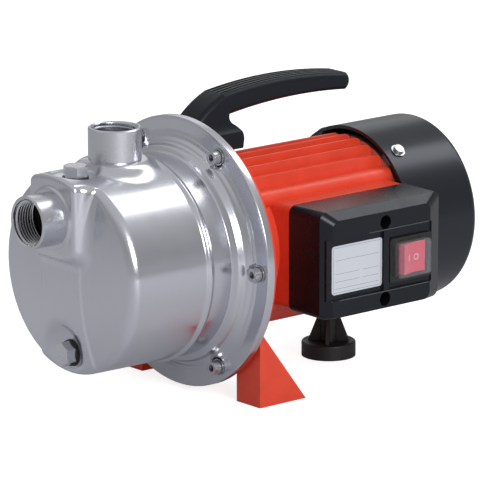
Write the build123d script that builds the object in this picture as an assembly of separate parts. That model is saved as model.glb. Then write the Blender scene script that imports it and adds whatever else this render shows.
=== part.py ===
from build123d import *
import os
from math import asin, cos, radians, sin, sqrt

# Everything is drawn about the shaft axis, with x = 0 at the rear face of the casing flange,
# and is moved to the frame of the front feet when it is written out.
FOOT_HOLE_BACK = 22.0
SEAT_GAP = 0.3
RUNNING_GAP = 0.05

# Pressed steel pump casing
SHEET = 2.0
CASING_RADIUS = 75.0
CASING_TAPER = 1.0
CASING_LENGTH = 108.0
CASING_EDGE_RADIUS = 6.5
DOME_RISE = 7.0
BEAD_X = -38.5
BEAD_RADIUS = 2.2
FLANGE_WIDTH = 25.0
FLANGE_RADIUS = CASING_RADIUS + FLANGE_WIDTH
FLANGE_LIP = 6.0
FLANGE_NECK_X = -18.5
FLOOR_CLEARANCE = 3.5
AXIS_HEIGHT = FLANGE_RADIUS + FLOOR_CLEARANCE
SCREW_EDGE = 10.0
CASING_SCREW_RING = FLANGE_RADIUS - SCREW_EDGE
FLANGE_STEP_RADIUS = CASING_SCREW_RING - 10.0
FLANGE_FLAT_RADIUS = FLANGE_STEP_RADIUS + 8.0

# Raised rib down the front of the casing
RIB_RISE = 1.6
RIB_WAIST = 22.0
RIB_END = 31.0
RIB_MARGIN = 10.0
RIB_REACH = CASING_RADIUS - RIB_MARGIN

# Suction side
PORT_THREAD_RADIUS = 16.6
PORT_WALL = 2.7
PORT_MOUTH_CHAMFER = 0.9
SUCTION_DROP = 32.4
SUCTION_HEIGHT = CASING_RADIUS - SUCTION_DROP
SUCTION_LENGTH = 20.0
SUCTION_BOSS_REACH = 17.0
SUCTION_BOSS_X = -CASING_LENGTH - SUCTION_BOSS_REACH
SUCTION_BOSS_HALF_WIDTH = 24.5
SUCTION_BOSS_DEPTH = 25.6
SUCTION_BOSS_BOTTOM = SUCTION_HEIGHT - SUCTION_BOSS_DEPTH
SUCTION_BOSS_FLARE = 8.0
SUCTION_BOSS_DROP = 13.0
SUCTION_BOSS_CORNER = 9.0
SUCTION_BOSS_EDGE = 3.0

# Discharge side
FILL_SETBACK = 7.0
FILL_X = -CASING_LENGTH + FILL_SETBACK
PORT_SPACING = 36.0
DISCHARGE_X = FILL_X + PORT_SPACING
DISCHARGE_LENGTH = 25.2
PAD_RISE = 1.0
PAD_TOP = CASING_RADIUS + PAD_RISE
PAD_RADIUS = 23.5
PAD_FLARE = 15.0
PAD_FLARE_DEPTH = 18.0
PAD_EDGE = 2.5

# Filling and drain plugs
PLUG_HEX = 16.0
PLUG_HEAD = 8.2
PLUG_NECK_RADIUS = 6.5
PLUG_NECK = 7.0
PLUG_SEAL = 1.5
PLUG_SEAL_RADIUS = 9.5
BUSH_RADIUS = 8.8
BUSH_DEPTH = 5.0
FILL_SINK = 6.5
FILL_SEAT = CASING_RADIUS - FILL_SINK
FILL_POCKET_RADIUS = 15.0
DRAIN_RISE = 16.0
DRAIN_HEIGHT = DRAIN_RISE - CASING_RADIUS
DRAIN_SINK = 1.5
DRAIN_SEAT_X = -CASING_LENGTH + DRAIN_SINK
DRAIN_POCKET_RADIUS = 14.0
DRAIN_POCKET_FLARE = 8.5
DRAIN_POCKET_DEPTH = 7.0

# Casing joint and its screws
CASING_SCREWS = 6
SCREW_RADIUS = 3.0
SCREW_HEAD_RADIUS = 5.0
SCREW_HEAD = 6.0
SCREW_LENGTH = 15.0
SCREW_HOLE_RADIUS = 3.3
SCREW_FLAT_RADIUS = 7.0
WASHER_RADIUS = 6.2
WASHER = 1.0
BACK_PLATE = 2.0
BACK_PLATE_CLEARANCE = 0.4
RING_SEAL_SECTION = 1.9

# Shaft, seal and bearings
IMPELLER_SEAT_RADIUS = 6.0
SEAL_SHAFT_RADIUS = 7.0
BEARING_BORE_RADIUS = 7.5
BEARING_OUTER_RADIUS = 17.5
BEARING_WIDTH = 11.0
BEARING_PITCH_RADIUS = 12.5
BALL_RADIUS = 2.95
BALLS = 8
RACE_WALL = 3.4
CAGE_WALL = 1.2
CAGE_WIDTH = 7.6
FRONT_BEARING_X = 9.0
ROTOR_SHAFT_RADIUS = 10.0
FAN_SHAFT_RADIUS = 6.0
NUT_THREAD_RADIUS = 5.0
NUT_HEX = 16.0
NUT_HEIGHT = 7.0
SEAL_SEAT = 6.0
SEAL_SEAT_RADIUS = 16.5
SEAL_HEAD_RADIUS = 14.0
SEAL_FACE_RADIUS = 11.5
SEAL_HUB_WALL = 2.0
SLINGER_RADIUS = 12.5
SLINGER_LIP = 0.9
SLINGER_WIDTH = 2.2

# Impeller and diffuser
IMPELLER_REAR_X = -12.0
IMPELLER_HUB = 19.0
IMPELLER_HUB_RADIUS = 11.0
IMPELLER_SHROUD = 2.0
IMPELLER_PASSAGE = 7.0
IMPELLER_VANES = 6
IMPELLER_VANE = 2.0
IMPELLER_SWEEP = 75
IMPELLER_EYE_RADIUS = 15.6
IMPELLER_EYE = 12.0
EYE_GAP = 0.4
DIFFUSER_SPACE = 13.0
DIFFUSER_RADIUS = CASING_RADIUS - DIFFUSER_SPACE
DIFFUSER_RING = 12.0
IMPELLER_RADIUS = DIFFUSER_RADIUS - DIFFUSER_RING
DIFFUSER_TIP_GAP = 3.0
DIFFUSER_VANE_ROOT = IMPELLER_RADIUS + DIFFUSER_TIP_GAP
DIFFUSER_WALL = 2.5
DIFFUSER_VANES = 8
DIFFUSER_SWEEP = 22
DIFFUSER_EYE = 13.0
TIP_GAP = 1.0

# Jet assembly ahead of the impeller
JET_SETBACK = 10.0
JET_FRONT_X = -CASING_LENGTH + JET_SETBACK
THROAT_RADIUS = 6.5
CONE_RADIUS = 14.0
TUBE_WALL = 3.0
CHAMBER_LENGTH = 16.0
CHAMBER_HALF_WIDTH = 21.5
CHAMBER_BUSH_GAP = 0.9
CHAMBER_TOP = FILL_SEAT - SHEET - BUSH_DEPTH - CHAMBER_BUSH_GAP
CHAMBER_BOTTOM = -20.0
CHAMBER_WALL = 2.5
INLET_RADIUS = 15.6
NOZZLE_RADIUS = 8.5
NOZZLE_TIP_RADIUS = 3.2
NOZZLE_LENGTH = 19.0

# Bracket between pump and motor, with its two legs
BRACKET_INSET = 5.0
BRACKET_RADIUS = FLANGE_RADIUS - BRACKET_INSET
BRACKET_WEB = 6.0
BRACKET_LAND = 7.0
BRACKET_RELIEF_RADIUS = CASING_SCREW_RING - BRACKET_LAND
HUB_RADIUS = 23.0
SPIGOT = 4.0
LEG_OUTER = 80.0
LEG_WIDTH = 26.0
LEG_FRONT = 3.5
LEG_REAR = 47.4
LEG_TOP = -46.0
LEG_WALL = 4.0
FOOT_HOLE_RADIUS = 4.5
FOOT_HOLE_SPACING = 134.0

# Motor housing
HOUSING_FRONT = BRACKET_WEB
HOUSING_REAR = 160.0
REAR_BEARING_INSET = 14.0
REAR_BEARING_X = HOUSING_REAR - REAR_BEARING_INSET
HOUSING_RADIUS = 57.0
HOUSING_WALL = 6.0
STATOR_RADIUS = HOUSING_RADIUS - HOUSING_WALL
FIN_HEIGHT = 7.0
FIN_TIP_RADIUS = HOUSING_RADIUS + FIN_HEIGHT
FIN_PITCH = 11.5
FIN = 3.0
FIN_TIP = 1.8
FINS_EACH_SIDE = 3
FIN_END_ROUND = 5.0
TIE_SINK = 0.5
TIE_RING = HOUSING_RADIUS - TIE_SINK
TIE_ANGLE = 43.5
TIE_BOSS_RADIUS = 7.0
TIE_BOLT_RADIUS = 2.5
TIE_HEAD_RADIUS = 4.3
TIE_HEAD = 4.0

# Motor insides
CORE_FRONT = 45.0
CORE_REAR_ROOM = 45.0
CORE_LENGTH = HOUSING_REAR - CORE_REAR_ROOM - CORE_FRONT
STATOR_DEPTH = 21.4
ROTOR_RADIUS = STATOR_RADIUS - STATOR_DEPTH
AIR_GAP = 0.4
WINDING_REACH = 19.0
WINDING_ROUND = 6.0
CAGE_RING = 6.0
CAGE_RING_DEPTH = 8.0

# Rear end shield, fan and fan cover
SHIELD = 6.0
SHIELD_RIM = 5.0
SHIELD_RADIUS = HOUSING_RADIUS + SHIELD_RIM
SHIELD_SPIGOT = 9.0
WAVE_WASHER = 1.6
COVER_GAP = 7.5
COVER_RADIUS = SHIELD_RADIUS + COVER_GAP
FAN_STAND_OFF = 26.0
FAN_X = HOUSING_REAR + FAN_STAND_OFF
FAN_SPACE = 11.5
FAN_RADIUS = COVER_RADIUS - FAN_SPACE
FAN_HUB_RADIUS = 12.0
FAN_DEPTH = 18.0
FAN_PLATE = 2.0
FAN_BLADES = 9
FAN_BLADE = 2.0
CLIP = 1.2
CLIP_RADIUS = 9.0
SHAFT_TAIL = 1.8
SHAFT_REAR_X = FAN_X + FAN_DEPTH + CLIP + SHAFT_TAIL
COVER_LAP = 1.2
COVER_FRONT = HOUSING_REAR - COVER_LAP
COVER_TAIL = 23.6
COVER_REAR = FAN_X + FAN_DEPTH + COVER_TAIL
COVER_WALL = 2.5
COVER_EDGE = 6.0
COVER_SCREW_SETBACK = 11.0
COVER_SCREW_X = HOUSING_REAR + COVER_SCREW_SETBACK
COVER_SCREW_ANGLE = 53.4
COVER_SCREW_RADIUS = 2.0
COVER_SCREW_HEAD_RADIUS = 3.8
COVER_SCREW_HEAD = 2.4
COVER_WASHER_RADIUS = 5.5
COVER_WASHER = 0.8
LUG_WIDTH = 10.0
LUG_LENGTH = 13.0
GRILLE_SLOTS = 24
GRILLE_SLOT = 4.0
GRILLE_INNER = 18.0
GRILLE_RIM = 15.5
GRILLE_OUTER = COVER_RADIUS - GRILLE_RIM

# Rear foot
REAR_FOOT_INSET = 20.0
REAR_FOOT_X = HOUSING_REAR - REAR_FOOT_INSET
REAR_FOOT_RADIUS = 20.4
REAR_FOOT_DISC = 11.4
REAR_FOOT_EDGE = 1.5
REAR_FOOT_COLUMN_RADIUS = 6.2
REAR_FOOT_RIB = 2.6
REAR_FOOT_RIB_REACH = 15.5
REAR_FOOT_BOSS_RADIUS = 9.0
REAR_FOOT_BOSS = 9.0
REAR_FOOT_BOSS_DROP = HOUSING_RADIUS + REAR_FOOT_BOSS
STUD_RADIUS = 4.0
STUD_GRIP = 8.0

# Handle: its base clears both the bracket's rim and the fins
HANDLE_HALF_WIDTH = 13.0
HANDLE_ROUND = 4.5
HANDLE_RIM_LAP = 22.0
HANDLE_FIN_GAP = 9.0
HANDLE_BASE_BOTTOM = max(BRACKET_RADIUS - HANDLE_RIM_LAP, FIN_TIP_RADIUS + HANDLE_FIN_GAP)
HANDLE_BASE_HEIGHT = 12.5
HANDLE_BASE_TOP = HANDLE_BASE_BOTTOM + HANDLE_BASE_HEIGHT
HANDLE_HEIGHT = 45.2
HANDLE_TOP = HANDLE_BASE_BOTTOM + HANDLE_HEIGHT
HANDLE_GRIP_DEPTH = 16.4
HANDLE_FRONT = 3.0
HANDLE_REAR_INSET = 10.0
HANDLE_REAR = HOUSING_REAR - HANDLE_REAR_INSET
HANDLE_RIM_GAP = 0.8
HANDLE_LIP = 1.5
HANDLE_NOSE = 25.0
HANDLE_NOSE_BOW = 12.0
HANDLE_NOSE_DROP = 11.4
HANDLE_CROWN = 78.0
HANDLE_FRONT_FALL = 4.7
HANDLE_REAR_FALL = 4.4
HANDLE_TAIL = 3.0
HANDLE_TAIL_DROP = 9.5
HANDLE_TAIL_UNDERCUT = 4.0
HANDLE_TAIL_FALL = 0.8
HANDLE_BELLY_RISE = 0.6
HANDLE_THROAT = 28.5
HANDLE_THROAT_BOW = 1.1
HANDLE_THROAT_RUN = 4.0
HANDLE_THROAT_TOP = 4.6
HANDLE_THROAT_MIDDLE = 8.6
HANDLE_THROAT_BOTTOM = 11.2
HANDLE_BASE_LENGTH = 36.0
HANDLE_BASE_REAR = BRACKET_WEB + HANDLE_BASE_LENGTH
HANDLE_HEEL_BOW = 1.6
HANDLE_HEEL_DROP = 5.5
HANDLE_HEEL_SLOPE = 1.0
HANDLE_BASE_HALF_WIDTH = 17.5
HANDLE_NECK_DROP = 7.0
HANDLE_GROOVE = 2.0
HANDLE_GROOVE_PITCH = 4.6
HANDLE_GROOVES = 4
HANDLE_SCREW_SPREAD = 11.0
HANDLE_SCREW_RISE = 6.2
HANDLE_SCREW_HEIGHT = HANDLE_BASE_BOTTOM + HANDLE_SCREW_RISE
HANDLE_SCREW_GRIP = 14.0
HANDLE_SCREW_SEAT = BRACKET_WEB + HANDLE_SCREW_GRIP
HANDLE_SCREW_RADIUS = 2.5
HANDLE_SCREW_HEAD_RADIUS = 4.2
HANDLE_SCREW_HEAD = 5.0

# Terminal box
BOX_LENGTH = 116.0
BOX_INSET = 2.5
BOX_REAR = HOUSING_REAR - BOX_INSET
BOX_FRONT = BOX_REAR - BOX_LENGTH
BOX_TOP = 38.8
BOX_BOTTOM = -40.6
BOX_STAND = 10.0
BOX_BACK = -HOUSING_RADIUS - BOX_STAND
BOX_SIDE = 34.0
BOX_SHOULDER = BOX_BACK - BOX_SIDE
BOX_SLOPE = 7.0
BOX_FACE = BOX_SHOULDER - BOX_SLOPE
BOX_CORNER = 6.0
BOX_WALL = 2.5
FACE_INSET = 6.8
FACE_FRONT = BOX_FRONT + FACE_INSET
FACE_REAR_INSET = 14.5
FACE_REAR = BOX_REAR - FACE_REAR_INSET
FACE_TOP = 32.8
FACE_BOTTOM = -39.1
WINDOW_TOP = 19.0
WINDOW_BOTTOM = -26.0
WINDOW_DEPTH = 2.0
LABEL_WINDOW = 56.1
DIVIDER_FRONT = BOX_FRONT + LABEL_WINDOW
DIVIDER = 5.2
DIVIDER_REAR = DIVIDER_FRONT + DIVIDER
BOX_SCREW_SETBACK = 57.5
BOX_SCREW_X = BOX_FRONT + BOX_SCREW_SETBACK
BOX_SCREW_HEIGHTS = (24.9, -32.3)
BOX_SCREW_WELL_RADIUS = 5.2
BOX_SCREW_POST_RADIUS = 7.4
BOX_SCREW_RADIUS = 2.0
BOX_SCREW_HEAD_RADIUS = 3.8
BOX_SCREW_HEAD = 3.0
BOX_SCREW_STAND = 13.0
BOX_SCREW_WELL_FLOOR = BOX_BACK - BOX_SCREW_STAND
PAD_DEPTH = 27.0
PAD_INNER = BOX_BACK + PAD_DEPTH
PAD_POCKET = 9.0
PAD_RIM = 10.0
GASKET = 1.0
GASKET_WIDTH = 2.5
LABEL = 0.6
LABEL_MARGIN = 0.6
LABEL_LENGTH = 48.4
LABEL_REAR = DIVIDER_FRONT - LABEL_MARGIN
LABEL_FRONT = LABEL_REAR - LABEL_LENGTH
LABEL_TOP = 14.0
LABEL_BOTTOM = -22.0
LABEL_CORNER = 2.5
INLET_STAND = 10.5
INLET_Y = BOX_BACK - INLET_STAND
INLET_Z = -22.0
CABLE_RADIUS = 3.5
BUSH_NECK_RADIUS = 6.5
BUSH_FLANGE_RADIUS = 8.0
BUSH_NOSE_RADIUS = 5.2
BUSH_NOSE = 12.0
BUSH_FLANGE = 2.5
BUSH_NUT_HEX = 17.0
BUSH_NUT = 4.0

# Switch
SWITCH_MARGIN = 20.9
SWITCH_X = DIVIDER_REAR + SWITCH_MARGIN
SWITCH_Z = -5.0
SWITCH_FLANGE_LENGTH = 41.0
SWITCH_FLANGE_HEIGHT = 33.0
SWITCH_FLANGE = 2.5
SWITCH_BODY_LENGTH = 29.0
SWITCH_BODY_HEIGHT = 28.0
SWITCH_BODY_DEPTH = 20.0
ROCKER_LENGTH = 22.6
ROCKER_HEIGHT = 22.4
ROCKER_RISE = 3.0
ROCKER_SIDE_GAP = 0.5
ROCKER_END_GAP = 1.0
ROCKER_TILT = 7.0
ROCKER_PIVOT_DEPTH = 6.0
ROCKER_PIN_RADIUS = 1.5
ROCKER_PIN = 1.6
HOOD_LENGTH = 32.0
HOOD_HEIGHT = 27.0
HOOD_RISE = 6.0
HOOD_WALL = 0.8

# Parts in the terminal box
CAPACITOR_RADIUS = 12.5
CAPACITOR_SETBACK = 7.5
CAPACITOR_FRONT = BOX_FRONT + CAPACITOR_SETBACK
CAPACITOR_LENGTH = 44.0
CAPACITOR_STAND = 14.0
CAPACITOR_Y = BOX_BACK - CAPACITOR_STAND
CAPACITOR_Z = -4.0
CLIP_WIDTH = 10.0
CLIP_WALL = 1.2
TERMINALS_SETBACK = 68.5
TERMINALS_FRONT = BOX_FRONT + TERMINALS_SETBACK
TERMINALS_LENGTH = 36.0
TERMINALS_HEIGHT = 16.0
TERMINALS_DEPTH = 15.0
TERMINAL_WELLS = 4
TERMINAL_WELL_RADIUS = 2.6

LOW = (Align.CENTER, Align.CENTER, Align.MIN)
CORNER = (Align.MIN, Align.MIN, Align.MIN)


def rod_x(front, rear, radius, y=0.0, z=0.0):
    """A round bar along the shaft direction."""
    return Pos(front, y, z) * Rot(0, 90, 0) * Cylinder(radius, rear - front, align=LOW)


def rod_y(low, high, radius, x, z):
    """A round bar across the pump."""
    return Pos(x, low, z) * Rot(-90, 0, 0) * Cylinder(radius, high - low, align=LOW)


def rod_z(low, high, radius, x=0.0, y=0.0):
    """An upright round bar."""
    return Pos(x, y, low) * Cylinder(radius, high - low, align=LOW)


def block(x, y, z):
    """A rectangular block from its low and high ends along each axis."""
    size = (x[1] - x[0], y[1] - y[0], z[1] - z[0])
    return Pos(x[0], y[0], z[0]) * Box(*size, align=CORNER)


def turned(*corners):
    """A ring or shaft turned about the shaft axis, from its (x, radius) corners."""
    return revolve(Plane.XZ * Polygon(*corners, align=None), Axis.X)


def ring(front, rear, outer, inner):
    """A plain ring about the shaft axis."""
    return turned((front, inner), (rear, inner), (rear, outer), (front, outer))


def hex_bar(length, across_flats):
    """An upright hexagonal bar that stands on the origin."""
    return extrude(RegularPolygon(across_flats / 2, 6, major_radius=False), length)


def around(shape, angles):
    """Copies of a shape, turned about the shaft axis."""
    return [Rot(angle, 0, 0) * shape for angle in angles]


def evenly(count, start=0.0):
    """Angles that share a full turn."""
    return [start + 360 / count * number for number in range(count)]


def profile_y(outline, low, high):
    """A closed outline in the X-Z plane, extruded from y = low to y = high."""
    return extrude(Plane.XZ.offset(-low) * outline, -(high - low))


def casing_cup(inset):
    """The domed, slightly tapered drum of the casing, drawn in by inset from its outer skin."""
    rim_x = -CASING_LENGTH + inset
    rim_radius = CASING_RADIUS - CASING_TAPER - inset
    rear_radius = CASING_RADIUS - inset
    nose_x = rim_x - DOME_RISE
    dome_radius = (rim_radius**2 + DOME_RISE**2) / (2 * DOME_RISE)
    half = asin(rim_radius / dome_radius) / 2
    middle = (nose_x + dome_radius * (1 - cos(half)), dome_radius * sin(half))
    dome = ThreePointArc((nose_x, 0), middle, (rim_x, rim_radius))
    rear_x = FLANGE_NECK_X + SHEET
    sides = Polyline((rim_x, rim_radius), (rear_x, rear_radius), (rear_x, 0), (nose_x, 0))
    outline = make_face(dome + sides)
    rim = outline.vertices().sort_by(Axis.Y)[-2]
    return revolve(Plane.XZ * fillet(rim, CASING_EDGE_RADIUS - inset), Axis.X)


def front_rib(inset):
    """The waisted rib that stands proud of the dome, from the suction boss to the drain."""
    waist = RIB_WAIST - inset
    end = RIB_END - inset
    reach = RIB_REACH - inset
    sides = [ThreePointArc((side * end, -reach), (side * waist, 0), (side * end, reach)) for side in (-1, 1)]
    ends = [Line((-end, height), (end, height)) for height in (-reach, reach)]
    outline = Plane.YZ.offset(SUCTION_BOSS_X) * make_face(sides + ends)
    span = rod_x(SUCTION_BOSS_X, FLANGE_NECK_X - CASING_LENGTH / 2, reach)
    return Pos(-RIB_RISE, 0, 0) * casing_cup(inset) & extrude(outline, CASING_LENGTH / 2) & span


def suction_boss(inset):
    """The drafted boss that carries the suction socket."""
    back_x = -CASING_LENGTH + SHEET + inset
    front_x = SUCTION_BOSS_X + inset
    top = FILL_SEAT - inset
    bottom = SUCTION_BOSS_BOTTOM + inset
    half = SUCTION_BOSS_HALF_WIDTH - inset
    back_bottom = bottom - SUCTION_BOSS_DROP
    front = Plane.YZ.offset(front_x) * Pos(0, (top + bottom) / 2) * RectangleRounded(
        2 * half, top - bottom, SUCTION_BOSS_CORNER)
    back = Plane.YZ.offset(back_x) * Pos(0, (top + back_bottom) / 2) * RectangleRounded(
        2 * (half + SUCTION_BOSS_FLARE), top - back_bottom, SUCTION_BOSS_CORNER)
    boss = loft([front, back])
    boss = fillet(boss.faces().sort_by(Axis.X)[0].edges(), SUCTION_BOSS_EDGE)
    drum = rod_x(SUCTION_BOSS_X, back_x, CASING_RADIUS - CASING_TAPER - SHEET / 2 - inset)
    return boss & drum


def discharge_pad(inset):
    """The flat pad under the discharge socket, flared down onto the drum."""
    top = PAD_TOP - inset
    radius = PAD_RADIUS - inset
    flare = Pos(DISCHARGE_X, 0, top - PAD_FLARE_DEPTH) * Cone(
        radius + PAD_FLARE, radius, PAD_FLARE_DEPTH, align=LOW)
    pad = fillet(flare.edges().sort_by(Axis.Z)[-1], PAD_EDGE)
    return pad & rod_x(SUCTION_BOSS_X, FLANGE_NECK_X + SHEET, FLANGE_RADIUS)


def plug_pockets(inset):
    """What the pockets of the filling plug and the drain plug take out of the casing."""
    floor = FILL_SEAT - inset
    radius = FILL_POCKET_RADIUS + inset
    top = PAD_TOP + PAD_FLARE_DEPTH
    shelf = rod_z(floor, top, radius, FILL_X)
    shelf += block((SUCTION_BOSS_X - SHEET, FILL_X), (-radius, radius), (floor, top))
    seat = DRAIN_SEAT_X + inset
    drain = Pos(seat, 0, DRAIN_HEIGHT) * Rot(0, -90, 0) * Cone(
        DRAIN_POCKET_RADIUS + inset, DRAIN_POCKET_RADIUS + inset + 2 * DRAIN_POCKET_FLARE,
        2 * DRAIN_POCKET_DEPTH, align=LOW)
    return shelf + drain


def casing_form(inset):
    """The whole pressed form, drawn in by inset, so that two of them make the sheet."""
    form = casing_cup(inset) + front_rib(inset) + suction_boss(inset) + discharge_pad(inset)
    return form - plug_pockets(inset)


def casing_flange():
    """The stepped collar and flat flange at the open end of the casing, with its turned lip."""
    step = FLANGE_STEP_RADIUS
    flat = FLANGE_FLAT_RADIUS
    face = -FLANGE_LIP
    skin = [(FLANGE_NECK_X, CASING_RADIUS), (face - 9, step - 0.5), (face - 5, step + 0.5),
            (face - 4, step + 3.5), (face - 1.2, step + 5), (face, flat),
            (face, FLANGE_RADIUS), (0, FLANGE_RADIUS)]
    inside = [(0, FLANGE_RADIUS - SHEET), (face + SHEET, FLANGE_RADIUS - SHEET),
              (face + SHEET, flat - 1), (face + 0.9, step + 3.6), (face - 2, step + 2),
              (face - 3.2, step - 1), (face - 7.4, step - 2.1), (FLANGE_NECK_X + 1, CASING_RADIUS - SHEET),
              (FLANGE_NECK_X - SHEET, CASING_RADIUS - SHEET), (FLANGE_NECK_X - SHEET, CASING_RADIUS - 0.2)]
    return turned(*skin, *inside)


def screw_ring(shape):
    """A shape drawn at angle zero, set at each casing screw."""
    return around(Pos(0, -CASING_SCREW_RING, 0) * shape, evenly(CASING_SCREWS))


def pump_casing():
    """The pressed casing with its two port openings and its flange holes."""
    shell = casing_form(0) - casing_form(SHEET)
    bead = Pos(BEAD_X, 0, 0) * Rot(0, 90, 0) * Torus(CASING_RADIUS - 0.6, BEAD_RADIUS)
    shell += (bead - rod_x(BEAD_X - 5, BEAD_X + 5, CASING_RADIUS - 1))
    shell += casing_flange()
    shell -= rod_x(SUCTION_BOSS_X - SHEET, -CASING_LENGTH, PORT_THREAD_RADIUS, 0, SUCTION_HEIGHT)
    shell -= rod_z(PAD_TOP - 2 * SHEET, PAD_TOP + SHEET, PORT_THREAD_RADIUS, DISCHARGE_X)
    shell -= rod_z(FILL_SEAT - 2 * SHEET, FILL_SEAT + SHEET, PLUG_NECK_RADIUS, FILL_X)
    shell -= rod_x(DRAIN_SEAT_X - SHEET, DRAIN_SEAT_X + 2 * SHEET, PLUG_NECK_RADIUS, 0, DRAIN_HEIGHT)
    for flat in screw_ring(rod_x(-2 * FLANGE_LIP, -FLANGE_LIP, SCREW_FLAT_RADIUS)):
        shell -= flat
    for flat in screw_ring(rod_x(-FLANGE_LIP, SHEET - FLANGE_LIP, SCREW_FLAT_RADIUS + WASHER)):
        shell += flat
    for hole in screw_ring(rod_x(-2 * FLANGE_LIP, FLANGE_LIP, SCREW_HOLE_RADIUS)):
        shell -= hole
    return shell


def port_socket(length):
    """A threaded port socket that stands on the origin, with a chamfered mouth."""
    outer = PORT_THREAD_RADIUS + PORT_WALL
    mouth = PORT_THREAD_RADIUS + PORT_MOUTH_CHAMFER
    wall = [(PORT_THREAD_RADIUS, 0), (outer, 0), (outer, length - 0.8), (outer - 0.8, length),
            (mouth, length), (PORT_THREAD_RADIUS, length - PORT_MOUTH_CHAMFER)]
    return revolve(Plane.XZ * Polygon(*wall, align=None), Axis.Z)


def suction_socket():
    """The suction socket on the front of the casing."""
    return Pos(SUCTION_BOSS_X, 0, SUCTION_HEIGHT) * Rot(0, -90, 0) * port_socket(SUCTION_LENGTH)


def discharge_socket():
    """The discharge socket on top of the casing."""
    return Pos(DISCHARGE_X, 0, PAD_TOP) * port_socket(DISCHARGE_LENGTH)


def at_filling(shape):
    """A shape drawn upright on the origin, set on the filling seat."""
    return Pos(FILL_X, 0, FILL_SEAT) * shape


def at_drain(shape):
    """A shape drawn upright on the origin, set on the drain seat, pointing forward."""
    return Pos(DRAIN_SEAT_X, 0, DRAIN_HEIGHT) * Rot(0, -90, 0) * shape


def plug():
    """A hexagon plug with a chamfered head and a neck, seated with its seal at the origin."""
    head = Pos(0, 0, PLUG_SEAL) * hex_bar(PLUG_HEAD, PLUG_HEX)
    crown = Pos(0, 0, PLUG_SEAL) * Cone(
        PLUG_HEX / 2 + PLUG_HEAD, PLUG_HEX / 2, PLUG_HEAD, align=LOW)
    return (head & crown) + rod_z(-PLUG_NECK, PLUG_SEAL, PLUG_NECK_RADIUS - RUNNING_GAP)


def plug_seal():
    """A flat ring seal under a plug's head."""
    return rod_z(0, PLUG_SEAL, PLUG_SEAL_RADIUS) - rod_z(0, PLUG_SEAL, PLUG_NECK_RADIUS)


def plug_bush():
    """The threaded bush welded behind a plug's hole."""
    bottom = -SHEET - BUSH_DEPTH
    return rod_z(bottom, -SHEET, BUSH_RADIUS) - rod_z(bottom, -SHEET, PLUG_NECK_RADIUS)


def plug_bushes():
    """The bushes of the filling plug and the drain plug."""
    return [at_filling(plug_bush()), at_drain(plug_bush())]


def casing_screw():
    """A socket cap screw with its head in front of the flange."""
    face = -FLANGE_LIP - WASHER
    screw = rod_x(face - SCREW_HEAD, face, SCREW_HEAD_RADIUS)
    screw += rod_x(face, face + SCREW_LENGTH, SCREW_RADIUS)
    socket = Pos(face - SCREW_HEAD, 0, 0) * Rot(0, 90, 0) * hex_bar(SCREW_HEAD / 2, SCREW_HEAD_RADIUS)
    return screw - socket


def casing_washer():
    """The flat washer under a casing screw."""
    return ring(-FLANGE_LIP - WASHER, -FLANGE_LIP, WASHER_RADIUS, SCREW_HOLE_RADIUS)


def casing_seal():
    """The ring seal between the casing's step and the back plate."""
    seat = -FLANGE_LIP + SHEET
    return Pos(seat - RING_SEAL_SECTION, 0, 0) * Rot(0, 90, 0) * Torus(FLANGE_STEP_RADIUS, RING_SEAL_SECTION)


def seal_hub_end():
    """The rear end of the back plate's seal hub."""
    return -FLANGE_LIP + SHEET + BACK_PLATE + SEAL_SEAT + SHEET


def back_plate():
    """The steel plate that closes the pump and holds the shaft seal."""
    front = -FLANGE_LIP + SHEET
    rear = front + BACK_PLATE
    rim = FLANGE_RADIUS - SHEET - BACK_PLATE_CLEARANCE
    seat_end = rear + SEAL_SEAT
    hub = SEAL_SEAT_RADIUS + SEAL_HUB_WALL
    lip = SEAL_SHAFT_RADIUS + SEAL_HUB_WALL
    plate = turned((front, SEAL_SEAT_RADIUS), (front, rim), (rear, rim), (rear, hub),
                   (seat_end + SHEET, hub), (seat_end + SHEET, lip), (seat_end, lip),
                   (seat_end, SEAL_SEAT_RADIUS))
    for hole in screw_ring(rod_x(2 * front, FLANGE_LIP, SCREW_HOLE_RADIUS)):
        plate -= hole
    return plate


def seal_seat():
    """The stationary ceramic ring of the shaft seal."""
    front = -FLANGE_LIP + SHEET + BACK_PLATE
    return ring(front, front + SEAL_SEAT, SEAL_SEAT_RADIUS, SEAL_SHAFT_RADIUS + 2 * AIR_GAP)


def seal_head():
    """The turning half of the shaft seal, between the impeller and the seat."""
    face = -FLANGE_LIP + SHEET + BACK_PLATE - RUNNING_GAP
    shoulder = face - 2.5
    return turned((IMPELLER_REAR_X, SEAL_SHAFT_RADIUS), (IMPELLER_REAR_X, SEAL_HEAD_RADIUS),
                  (shoulder, SEAL_HEAD_RADIUS), (shoulder, SEAL_FACE_RADIUS),
                  (face, SEAL_FACE_RADIUS), (face, SEAL_SHAFT_RADIUS))


def slinger():
    """The rubber disc that throws leaked water off the shaft, ahead of the bearing."""
    front = seal_hub_end() + SEAT_GAP
    lip = front + SLINGER_LIP
    rear = front + SLINGER_WIDTH
    neck = SEAL_SHAFT_RADIUS + 2
    return turned((front, SEAL_SHAFT_RADIUS), (front, SLINGER_RADIUS), (lip, SLINGER_RADIUS),
                  (lip, neck), (rear, neck), (rear, SEAL_SHAFT_RADIUS))


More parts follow.
